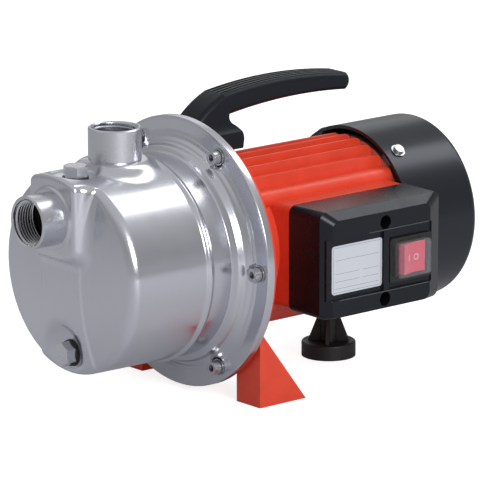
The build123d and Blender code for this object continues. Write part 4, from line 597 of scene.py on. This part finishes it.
# %% [markdown]
# Both ports have a tapped pipe thread inside. On the real pump a tap cuts it in one turning stroke, so
# the honest way to draw it is the same: a small tooth profile is swept along a rising spiral inside the
# bore. Seven turns of the true pitch give the fine dark and bright lines seen in the mouth.

# %% Tapped threads
THREAD_PITCH = 2.309
THREAD_ROOT = 16.66
THREAD_CREST = 15.3
THREAD_STEPS = 72
THREAD_START = 1.4
THREAD_DEPTH = 17
THREAD_FADE = 0.5
SUCTION_MOUTH = -145.0
DISCHARGE_MOUTH = 101.2
SHARP_ANGLE = 40
TOOTH = [(THREAD_ROOT, -1.0), (THREAD_CREST, -0.22), (THREAD_CREST, 0.22), (THREAD_ROOT, 1.0)]


def spiral_thread(name, mouth, inward):
    """A tapped thread that starts at a mouth and runs inward; each end fades into the wall."""
    mouth, inward, sideways = Vector(mouth), Vector(inward), Vector((0, 1, 0))
    upward = inward.cross(sideways)
    steps = int(THREAD_DEPTH / THREAD_PITCH * THREAD_STEPS)
    points, faces = [], []
    for step in range(steps + 1):
        turns = step / THREAD_STEPS
        fade = min(1.0, turns / THREAD_FADE, (steps - step) / THREAD_STEPS / THREAD_FADE)
        for radius, offset in TOOTH:
            reach = THREAD_ROOT - (THREAD_ROOT - radius) * fade
            place = sideways * (reach * cos(2 * pi * turns)) + upward * (reach * sin(2 * pi * turns))
            points.append(mouth + place + inward * (THREAD_START + turns * THREAD_PITCH + offset))
    for step in range(steps):
        for corner in range(len(TOOTH)):
            after = (corner + 1) % len(TOOTH)
            low, high = step * len(TOOTH), (step + 1) * len(TOOTH)
            faces.append((low + corner, low + after, high + after, high + corner))
    faces.append(tuple(range(len(TOOTH) - 1, -1, -1)))
    faces.append(tuple(steps * len(TOOTH) + corner for corner in range(len(TOOTH))))
    thread = new_piece(name, to_metres([tuple(point) for point in points]), faces)
    mark_sharp(thread)
    return thread


def mark_sharp(piece):
    """Keep edges crisp where two faces meet at more than the sharp angle."""
    mesh = piece.data
    form = bmesh.new()
    form.from_mesh(mesh)
    bmesh.ops.recalc_face_normals(form, faces=form.faces)
    for edge in form.edges:
        edge.smooth = len(edge.link_faces) == 2 and edge.calc_face_angle(0) < radians(SHARP_ANGLE)
    form.to_mesh(mesh)
    form.free()


suction_thread = spiral_thread("suction_thread", (SUCTION_MOUTH, 0, SUCTION_HEIGHT), (1, 0, 0))
discharge_thread = spiral_thread("discharge_thread", (DISCHARGE_X, 0, DISCHARGE_MOUTH), (0, 0, -1))
print("turns in a thread:", round(THREAD_DEPTH / THREAD_PITCH, 1))

# %% [markdown]
# Several small things stand a hair proud of a face: the marks on the rocker, the print on the plate and
# the rails on the box. All are made the same way. A flat outline is drawn first, and every corner of it
# is then dropped straight onto the face, so that the bar follows a face that is bent.

# %% A low bar laid onto a face
BAR_ROOT = 0.05
DROP_FROM = -200


def dropped_bar(name, outline, source, body, proud):
    """A closed low bar between pairs of (x, z) points, laid onto a node's -Y side."""
    points = []
    for (x0, z0), (x1, z1) in outline:
        for x, z, rise in ((x0, z0, proud), (x1, z1, proud), (x1, z1, -BAR_ROOT), (x0, z0, -BAR_ROOT)):
            _, place, _, _ = nodes[source].ray_cast(from_shaft(x, DROP_FROM, z), Vector((0, 1, 0)))
            points.append(place - Vector((0, rise * MM, 0)))
    faces = []
    for step in range(len(outline) - 1):
        low, high = 4 * step, 4 * step + 4
        for corner in range(4):
            after = (corner + 1) % 4
            faces.append((low + corner, low + after, high + after, high + corner))
    faces += [(3, 2, 1, 0), tuple(range(len(points) - 4, len(points)))]
    bar = new_piece(name, [tuple(point) for point in points], faces, body=body)
    mark_sharp(bar)
    return bar


def on_node(node, across, upward):
    """A (x, z) point from the shaft, at shares of a node's width and height."""
    low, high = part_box(node)
    x = low[0] + across * (high[0] - low[0])
    z = low[2] + upward * (high[2] - low[2])
    return x / MM + FOOT_HOLE_BACK, z / MM - AXIS_HEIGHT


print("middle of the rocker:", [round(value, 1) for value in on_node("rocker", 0.5, 0.5)])

# %% [markdown]
# The rocker carries a stroke for on and a ring for off, moulded into its face. They ride on the rocker's
# own body, so they tilt with it.

# %% On and off marks
MARK_PROUD = 0.12
MARK_HEIGHT = 4.2
MARK_WIDTH = 0.55
ON_PLACE = 0.33
OFF_PLACE = 0.66
STROKE_STEPS = 4
RING_STEPS = 32


def stroke_outline(start, end, width):
    """Pairs of points along a straight stroke."""
    (x0, z0), (x1, z1) = start, end
    length = hypot(x1 - x0, z1 - z0)
    side = (-(z1 - z0) / length * width / 2, (x1 - x0) / length * width / 2)
    pairs = []
    for share in np.linspace(0, 1, STROKE_STEPS + 1):
        x, z = x0 + share * (x1 - x0), z0 + share * (z1 - z0)
        pairs.append(((x - side[0], z - side[1]), (x + side[0], z + side[1])))
    return pairs


def ring_outline(centre, radius, width):
    """Pairs of points round a ring, on its inner and outer edge."""
    pairs = []
    for turn in np.linspace(0, 2 * pi, RING_STEPS + 1):
        pairs.append(tuple((centre[0] + cos(turn) * reach, centre[1] + sin(turn) * reach)
                           for reach in (radius - width / 2, radius + width / 2)))
    return pairs


on_x, mark_z = on_node("rocker", ON_PLACE, 0.5)
off_x, _ = on_node("rocker", OFF_PLACE, 0.5)
on_stroke = stroke_outline((on_x, mark_z - MARK_HEIGHT / 2), (on_x, mark_z + MARK_HEIGHT / 2), MARK_WIDTH)
off_ring = ring_outline((off_x, mark_z), MARK_HEIGHT / 2, MARK_WIDTH)
on_mark = dropped_bar("on_mark", on_stroke, "rocker", "rocker", MARK_PROUD)
off_mark = dropped_bar("off_mark", off_ring, "rocker", "rocker", MARK_PROUD)
print("marks stand", MARK_PROUD, "mm proud")

# %% [markdown]
# The silver plate on the box stays bare, as the part carries no names. A thin printed border and a few
# empty ruled lines are what such a plate has before anything is written on it.

# %% Border and rules of the bare plate
RULE_WIDTH = 0.25
INK_PROUD = 0.03
BORDER = [(0.03, 0.04), (0.97, 0.04), (0.97, 0.96), (0.03, 0.96)]
# Each rule: its height, then where it starts and ends, all as shares of the plate
RULES = [(0.70, 0.07, 0.93), (0.42, 0.07, 0.55), (0.42, 0.62, 0.93),
         (0.26, 0.07, 0.55), (0.26, 0.62, 0.93), (0.12, 0.07, 0.93)]

plate_lines = []
for start, end in zip(BORDER, BORDER[1:] + BORDER[:1]):
    plate_lines.append((on_node("label_plate", *start), on_node("label_plate", *end)))
for height, left, right in RULES:
    plate_lines.append((on_node("label_plate", left, height), on_node("label_plate", right, height)))
plate_print = []
for number, (start, end) in enumerate(plate_lines):
    line = stroke_outline(start, end, RULE_WIDTH)
    plate_print.append(dropped_bar(f"plate_line_{number}", line, "label_plate", "pump",
                                   INK_PROUD))
print("lines on the plate:", len(plate_print))

# %% [markdown]
# Thin rails are moulded onto the box cover along the upper and lower edges of the sunk panel. They are
# under a millimetre wide. Each catches a bright line on its rounded edges, and their grey, lighter than
# the box black, is a painted highlight that strengthens that line and makes the black face readable.

# %% Rails on the box face
RAIL_WIDTH = 0.7
RAIL_PROUD = 0.5
RAIL_ABOVE_PLATE = 5.4
RAIL_BELOW_PLATE = 4.4
RAIL_SHORT_OF_SWITCH = 3
UPPER_RAIL_LAP = 14
LOWER_RAIL_LAP = 1

plate_left, plate_bottom = on_node("label_plate", 0, 0)
plate_right, plate_top = on_node("label_plate", 1, 1)
rail_end = on_node("switch_frame", 1, 1)[0] - RAIL_SHORT_OF_SWITCH
upper, lower = plate_top + RAIL_ABOVE_PLATE, plate_bottom - RAIL_BELOW_PLATE
RAILS = {
    "upper_rail": ((plate_right - UPPER_RAIL_LAP, upper), (rail_end, upper)),
    "lower_rail": ((plate_left - LOWER_RAIL_LAP, lower), (rail_end, lower)),
}
for name, (start, end) in RAILS.items():
    rail = stroke_outline(start, end, RAIL_WIDTH)
    dropped_bar(name, rail, "terminal_box", "pump", RAIL_PROUD)
print("rails:", list(RAILS))

# %% [markdown]
# Every finish below starts from the same recipe: a principled shader for the body of the material, and
# a little noise that nudges roughness and surface height. Real surfaces are never perfectly even, and
# that small unevenness is what tells the eye that a thing is metal, paint or plastic.

# %% A shared recipe for finishes
NOISE_SPAN = (0.3, 0.7)
BLEND_SPAN = (0.35, 0.65)
SHADE_SPAN = (0.35, 0.85)


class Finish:
    """A material being built: its tree, its shader and a few helpers that feed it."""

    def __init__(self, name, colour, roughness, metallic=0.0, **settings):
        self.material = bpy.data.materials.new(name)
        self.material.use_nodes = True
        self.tree = self.material.node_tree
        self.shader = self.tree.nodes["Principled BSDF"]
        self.shader.inputs["Base Color"].default_value = (*colour, 1.0)
        self.shader.inputs["Roughness"].default_value = roughness
        self.shader.inputs["Metallic"].default_value = metallic
        for key, value in settings.items():
            self.shader.inputs[key.replace("_", " ")].default_value = value
        self.place = self.tree.nodes.new("ShaderNodeTexCoord").outputs["Object"]
        self.relief = None

    def noise(self, scale, stretch=(1.0, 1.0, 1.0), detail=4.0):
        """Noise in object space, with scale in features per metre and an extra stretch per axis."""
        mapping = new_node(self.tree, "ShaderNodeMapping")
        mapping.inputs["Scale"].default_value = [scale * factor for factor in stretch]
        texture = new_node(self.tree, "ShaderNodeTexNoise", Scale=1.0, Detail=detail)
        self.tree.links.new(self.place, mapping.inputs["Vector"])
        self.tree.links.new(mapping.outputs[0], texture.inputs["Vector"])
        return texture.outputs["Fac"]

    def spread(self, source, low, high):
        """Remap a noise output to a range."""
        remap = new_node(self.tree, "ShaderNodeMapRange", From_Min=NOISE_SPAN[0], From_Max=NOISE_SPAN[1],
                         To_Min=low, To_Max=high)
        self.tree.links.new(source, remap.inputs["Value"])
        return remap.outputs[0]

    def vary_roughness(self, source, low, high):
        """Let a noise decide how shiny each spot is."""
        self.tree.links.new(self.spread(source, low, high), self.shader.inputs["Roughness"])

    def vary_colour(self, source, dark, light):
        """Blend two close colours by a noise."""
        blend = ramp(self.tree, [(BLEND_SPAN[0], dark), (BLEND_SPAN[1], light)])
        self.tree.links.new(source, blend.inputs[0])
        self.tree.links.new(blend.outputs[0], self.shader.inputs["Base Color"])

    def shade_hollows(self, reach, colour, gloss):
        """Let narrow grooves and sockets fall dark, since little light finds its way out of them."""
        shade = new_node(self.tree, "ShaderNodeAmbientOcclusion", Distance=reach, samples=8)
        blend = ramp(self.tree, [(SHADE_SPAN[0], grey(0.0)), (SHADE_SPAN[1], colour)])
        shine = new_node(self.tree, "ShaderNodeMapRange", From_Min=SHADE_SPAN[0], From_Max=SHADE_SPAN[1],
                         To_Min=0.0, To_Max=gloss)
        self.tree.links.new(shade.outputs["AO"], blend.inputs[0])
        self.tree.links.new(shade.outputs["AO"], shine.inputs["Value"])
        self.tree.links.new(blend.outputs[0], self.shader.inputs["Base Color"])
        self.tree.links.new(shine.outputs[0], self.shader.inputs["Specular IOR Level"])

    def round_edges(self, radius):
        """Let sharp edges catch light as if they had a small radius."""
        rounded = new_node(self.tree, "ShaderNodeBevel", samples=6, Radius=radius)
        self.tree.links.new(rounded.outputs[0], self.shader.inputs["Normal"])
        self.relief = rounded.outputs[0]

    def bump(self, source, depth):
        """Raise the surface by a noise; depth is in metres."""
        bump = new_node(self.tree, "ShaderNodeBump", Strength=1.0, Distance=depth)
        self.tree.links.new(source, bump.inputs["Height"])
        if self.relief:
            self.tree.links.new(self.relief, bump.inputs["Normal"])
        self.tree.links.new(bump.outputs[0], self.shader.inputs["Normal"])
        self.relief = bump.outputs[0]


def dress(finish, *names):
    """Give nodes of the frame a finish."""
    for name in names:
        slots = nodes[name].data.materials
        slots.clear()
        slots.append(finish.material)


print("helpers:", [name for name in dir(Finish) if not name.startswith("_")])

# %% [markdown]
# The casing is stainless sheet, pressed and then polished with a fine belt. The belt leaves hairlines
# that run round the drum. Noise that changes quickly along the shaft and slowly round it draws those
# hairlines without any texture image.

# %% Polished stainless steel
stainless = Finish("polished_stainless", (0.66, 0.67, 0.73), 0.2, metallic=1.0)
stainless.vary_roughness(stainless.noise(35.0), 0.17, 0.27)
stainless.bump(stainless.noise(900.0, (1.0, 0.02, 0.02), detail=2.0), 0.000006)
dress(stainless, "pump_casing", "back_plate")
casing.data.materials.append(stainless.material)

socket_steel = Finish("turned_steel", (0.66, 0.67, 0.71), 0.2, metallic=1.0)
socket_steel.vary_roughness(socket_steel.noise(50.0), 0.24, 0.29)
suction_thread.data.materials.append(socket_steel.material)
discharge_thread.data.materials.append(socket_steel.material)
dress(socket_steel, "suction_socket", "discharge_socket", "plug_bushes", "filling_plug", "drain_plug")

zinc = Finish("zinc_plate", (0.52, 0.52, 0.54), 0.28, metallic=1.0)
zinc.round_edges(0.0003)
zinc.shade_hollows(0.002, (0.60, 0.60, 0.62), 0.5)
zinc.vary_roughness(zinc.noise(100.0), 0.2, 0.3)
dress(zinc, "casing_screws", "casing_washers", "fan_cover_screws", "fan_cover_washers", "box_screws",
      "handle_screws", "rear_foot_stud", "impeller_nut", "tie_bolts", "fan_clip", "capacitor_clip")
print("metal finishes:", stainless.material.name, socket_steel.material.name, zinc.material.name)

# %% [markdown]
# The motor housing and the legs are die cast and then powder coated in a warm orange red. Powder flows
# out into a skin with a very fine orange-peel texture, which softens every reflection a little.

# %% Orange powder coat
orange = Finish("orange_powder_coat", (0.74, 0.060, 0.024), 0.36)
orange.vary_colour(orange.noise(60.0), (0.71, 0.055, 0.021), (0.77, 0.064, 0.026))
orange.round_edges(0.0005)
orange.vary_roughness(orange.noise(200.0), 0.32, 0.46)
orange.bump(orange.noise(1400.0, detail=2.0), 0.00002)
dress(orange, "motor_bracket", "motor_housing")
print("orange parts:", [name for name in nodes if nodes[name].data.materials[0] == orange.material])

# %% [markdown]
# The black parts are not one black. The fan cover is painted steel with a smooth satin skin, the
# terminal box is a glossier moulding, the handle is a grey-black moulding with a fine grain, and the
# foot is rubber. Small differences in gloss keep them apart, and the cover, the box and the handle
# reflect a slightly cool tone.

# %% Black paint, plastics and rubber
COOL = (0.84, 0.90, 1.0, 1.0)

black_paint = Finish("satin_black_paint", (0.008, 0.009, 0.013), 0.25, Specular_Tint=COOL)
black_paint.bump(black_paint.noise(700.0, detail=2.0), 0.000008)
dress(black_paint, "fan_cover")

box_black = Finish("glossy_black_moulding", (0.006, 0.0065, 0.009), 0.24, Specular_IOR_Level=0.35,
                   Specular_Tint=COOL)
box_black.round_edges(0.0006)
box_black.vary_roughness(box_black.noise(60.0, detail=2.0), 0.23, 0.29)
dress(box_black, "terminal_box", "cable_bush", "bush_nut")

# The rails' grey, ten times lighter than the box black, is a painted highlight for the bright line each
# rail catches.
rail_painted_highlight = Finish("painted_highlight_rail", (0.06, 0.065, 0.08), 0.2)
rail_painted_highlight.vary_roughness(rail_painted_highlight.noise(200.0), 0.16, 0.24)
rail_painted_highlight.round_edges(0.0004)
for rail in RAILS:
    bpy.data.objects[rail].data.materials.append(rail_painted_highlight.material)

grip_plastic = Finish("grained_grip", (0.010, 0.011, 0.015), 0.34, Specular_Tint=COOL)
grip_plastic.shade_hollows(0.003, (0.010, 0.011, 0.015), 0.2)
grip_plastic.vary_roughness(grip_plastic.noise(250.0), 0.33, 0.42)
grip_plastic.bump(grip_plastic.noise(2200.0, detail=3.0), 0.00001)
dress(grip_plastic, "handle")

rubber = Finish("moulded_rubber", (0.011, 0.011, 0.012), 0.5)
rubber.vary_roughness(rubber.noise(220.0), 0.4, 0.6)
rubber.bump(rubber.noise(1500.0), 0.00003)
dress(rubber, "rear_foot", "filling_plug_seal", "drain_plug_seal", "casing_seal", "seal_head", "slinger",
      "box_gasket")

switch_black = Finish("black_switch_moulding", (0.01, 0.01, 0.01), 0.2)
switch_black.vary_roughness(switch_black.noise(300.0), 0.16, 0.26)
dress(switch_black, "switch_frame")

wet_plastic = Finish("glass_filled_moulding", (0.03, 0.03, 0.032), 0.5)
wet_plastic.vary_roughness(wet_plastic.noise(400.0), 0.42, 0.6)
dress(wet_plastic, "impeller", "diffuser", "jet_tube", "jet_nozzle", "jet_chamber", "fan")
blacks = (black_paint, box_black, rail_painted_highlight, grip_plastic, rubber, switch_black, wet_plastic)
print("black finishes:", [finish.material.name for finish in blacks])

# %% [markdown]
# The rocker is a bright red moulding with a thin clear coat of gloss. Over it sits a soft clear hood that
# keeps rain out. The hood is nearly all see-through, so little more than its highlights shows. Its pale
# grey is a painted sheen: it stands for the pale reflections on the vinyl and lays a milky veil over the
# red below.

# %% Switch and its clear hood
rocker_red = Finish("clear_red_rocker", (0.85, 0.05, 0.11), 0.2, Coat_Weight=0.5, Coat_Roughness=0.08)
rocker_red.vary_roughness(rocker_red.noise(300.0), 0.16, 0.26)
dress(rocker_red, "rocker")

mark_white = Finish("moulded_white", (0.85, 0.80, 0.80), 0.35)
mark_white.vary_roughness(mark_white.noise(400.0), 0.3, 0.4)
for mark in (on_mark, off_mark):
    mark.data.materials.append(mark_white.material)

# The hood's pale grey, at low alpha, is painted sheen standing for its reflections over the red.
hood = Finish("soft_clear_vinyl", (0.45, 0.47, 0.52), 0.08, Alpha=0.13, IOR=1.5)
hood.vary_roughness(hood.noise(150.0), 0.05, 0.1)
dress(hood, "switch_hood")
print("switch finishes:", rocker_red.material.name, hood.material.name)

# %% [markdown]
# The plate is silver foil with grey ink on it. The rest of this cell dresses what the housing hides, so
# that the pump looks right inside too when it is opened or cut through: bearings, laminations, copper,
# the seal's white ceramic, and the pale plastic of the capacitor and the terminal block.

# %% Label, insulation and inner metals
label_foil = Finish("silver_foil", (0.68, 0.71, 0.77), 0.32, metallic=0.35)
label_foil.vary_roughness(label_foil.noise(200.0), 0.28, 0.4)
dress(label_foil, "label_plate")

plate_ink = Finish("grey_ink", (0.20, 0.21, 0.24), 0.5)
plate_ink.vary_roughness(plate_ink.noise(500.0), 0.45, 0.55)
for line in plate_print:
    line.data.materials.append(plate_ink.material)

aluminium = Finish("die_cast_aluminium", (0.62, 0.62, 0.61), 0.42, metallic=1.0)
aluminium.vary_roughness(aluminium.noise(260.0), 0.36, 0.52)
aluminium.bump(aluminium.noise(700.0), 0.00004)
dress(aluminium, "rear_shield", "rotor_end_rings")

bright_steel = Finish("ground_steel", (0.6, 0.6, 0.61), 0.18, metallic=1.0)
bright_steel.vary_roughness(bright_steel.noise(500.0, (1.0, 0.05, 0.05)), 0.14, 0.26)
dress(bright_steel, "shaft", "front_bearing_outer", "front_bearing_inner", "front_ball_cage",
      "rear_bearing_outer", "rear_bearing_inner", "rear_ball_cage", "wave_washer")

core_steel = Finish("laminated_core", (0.16, 0.16, 0.17), 0.5, metallic=0.8)
core_steel.bump(core_steel.noise(1600.0, (1.0, 0.02, 0.02)), 0.00008)
dress(core_steel, "stator_core", "rotor_core")

copper = Finish("enamelled_copper", (0.45, 0.16, 0.05), 0.3, metallic=0.6)
copper.bump(copper.noise(700.0, (0.2, 1.0, 1.0)), 0.0003)
dress(copper, "stator_windings")

ceramic = Finish("white_ceramic", (0.78, 0.76, 0.7), 0.25)
ceramic.vary_roughness(ceramic.noise(300.0), 0.2, 0.34)
dress(ceramic, "seal_seat")

insulation = Finish("pale_insulation", (0.66, 0.64, 0.56), 0.4)
insulation.vary_roughness(insulation.noise(200.0), 0.34, 0.48)
dress(insulation, "capacitor", "terminal_block")
inner = (aluminium, bright_steel, core_steel, copper, ceramic, insulation)
print("inner finishes:", [finish.material.name for finish in inner])

# %% [markdown]
# A catalogue picture has no floor to speak of: the paper is lit until it burns out to white, and only a
# trace of shadow is left under the feet. The camera therefore sees paper that glows a little. The steel
# sees the same paper without the glow, as a calm grey, because bright paper would wash out its tones.

# %% Studio paper
PAPER_GLOW = 0.80
paper = Finish("studio_paper", (0.6, 0.6, 0.62), 0.7)
paper.vary_roughness(paper.noise(3.0), 0.65, 0.75)
paper_tree = paper.tree
paper_path = new_node(paper_tree, "ShaderNodeLightPath")
paper_glow = new_node(paper_tree, "ShaderNodeEmission", Strength=PAPER_GLOW)
paper_sum = new_node(paper_tree, "ShaderNodeAddShader")
paper_mix = new_node(paper_tree, "ShaderNodeMixShader")
paper_link = paper_tree.links.new
paper_link(paper.shader.outputs[0], paper_sum.inputs[0])
paper_link(paper_glow.outputs[0], paper_sum.inputs[1])
paper_link(paper_path.outputs["Is Camera Ray"], paper_mix.inputs[0])
paper_link(paper.shader.outputs[0], paper_mix.inputs[1])
paper_link(paper_sum.outputs[0], paper_mix.inputs[2])
paper_link(paper_mix.outputs[0], paper_tree.nodes["Material Output"].inputs["Surface"])
studio_floor.data.materials.append(paper.material)
print("finishes in all:", len(bpy.data.materials))

# %% [markdown]
# Dressing a machine must never make it grow.
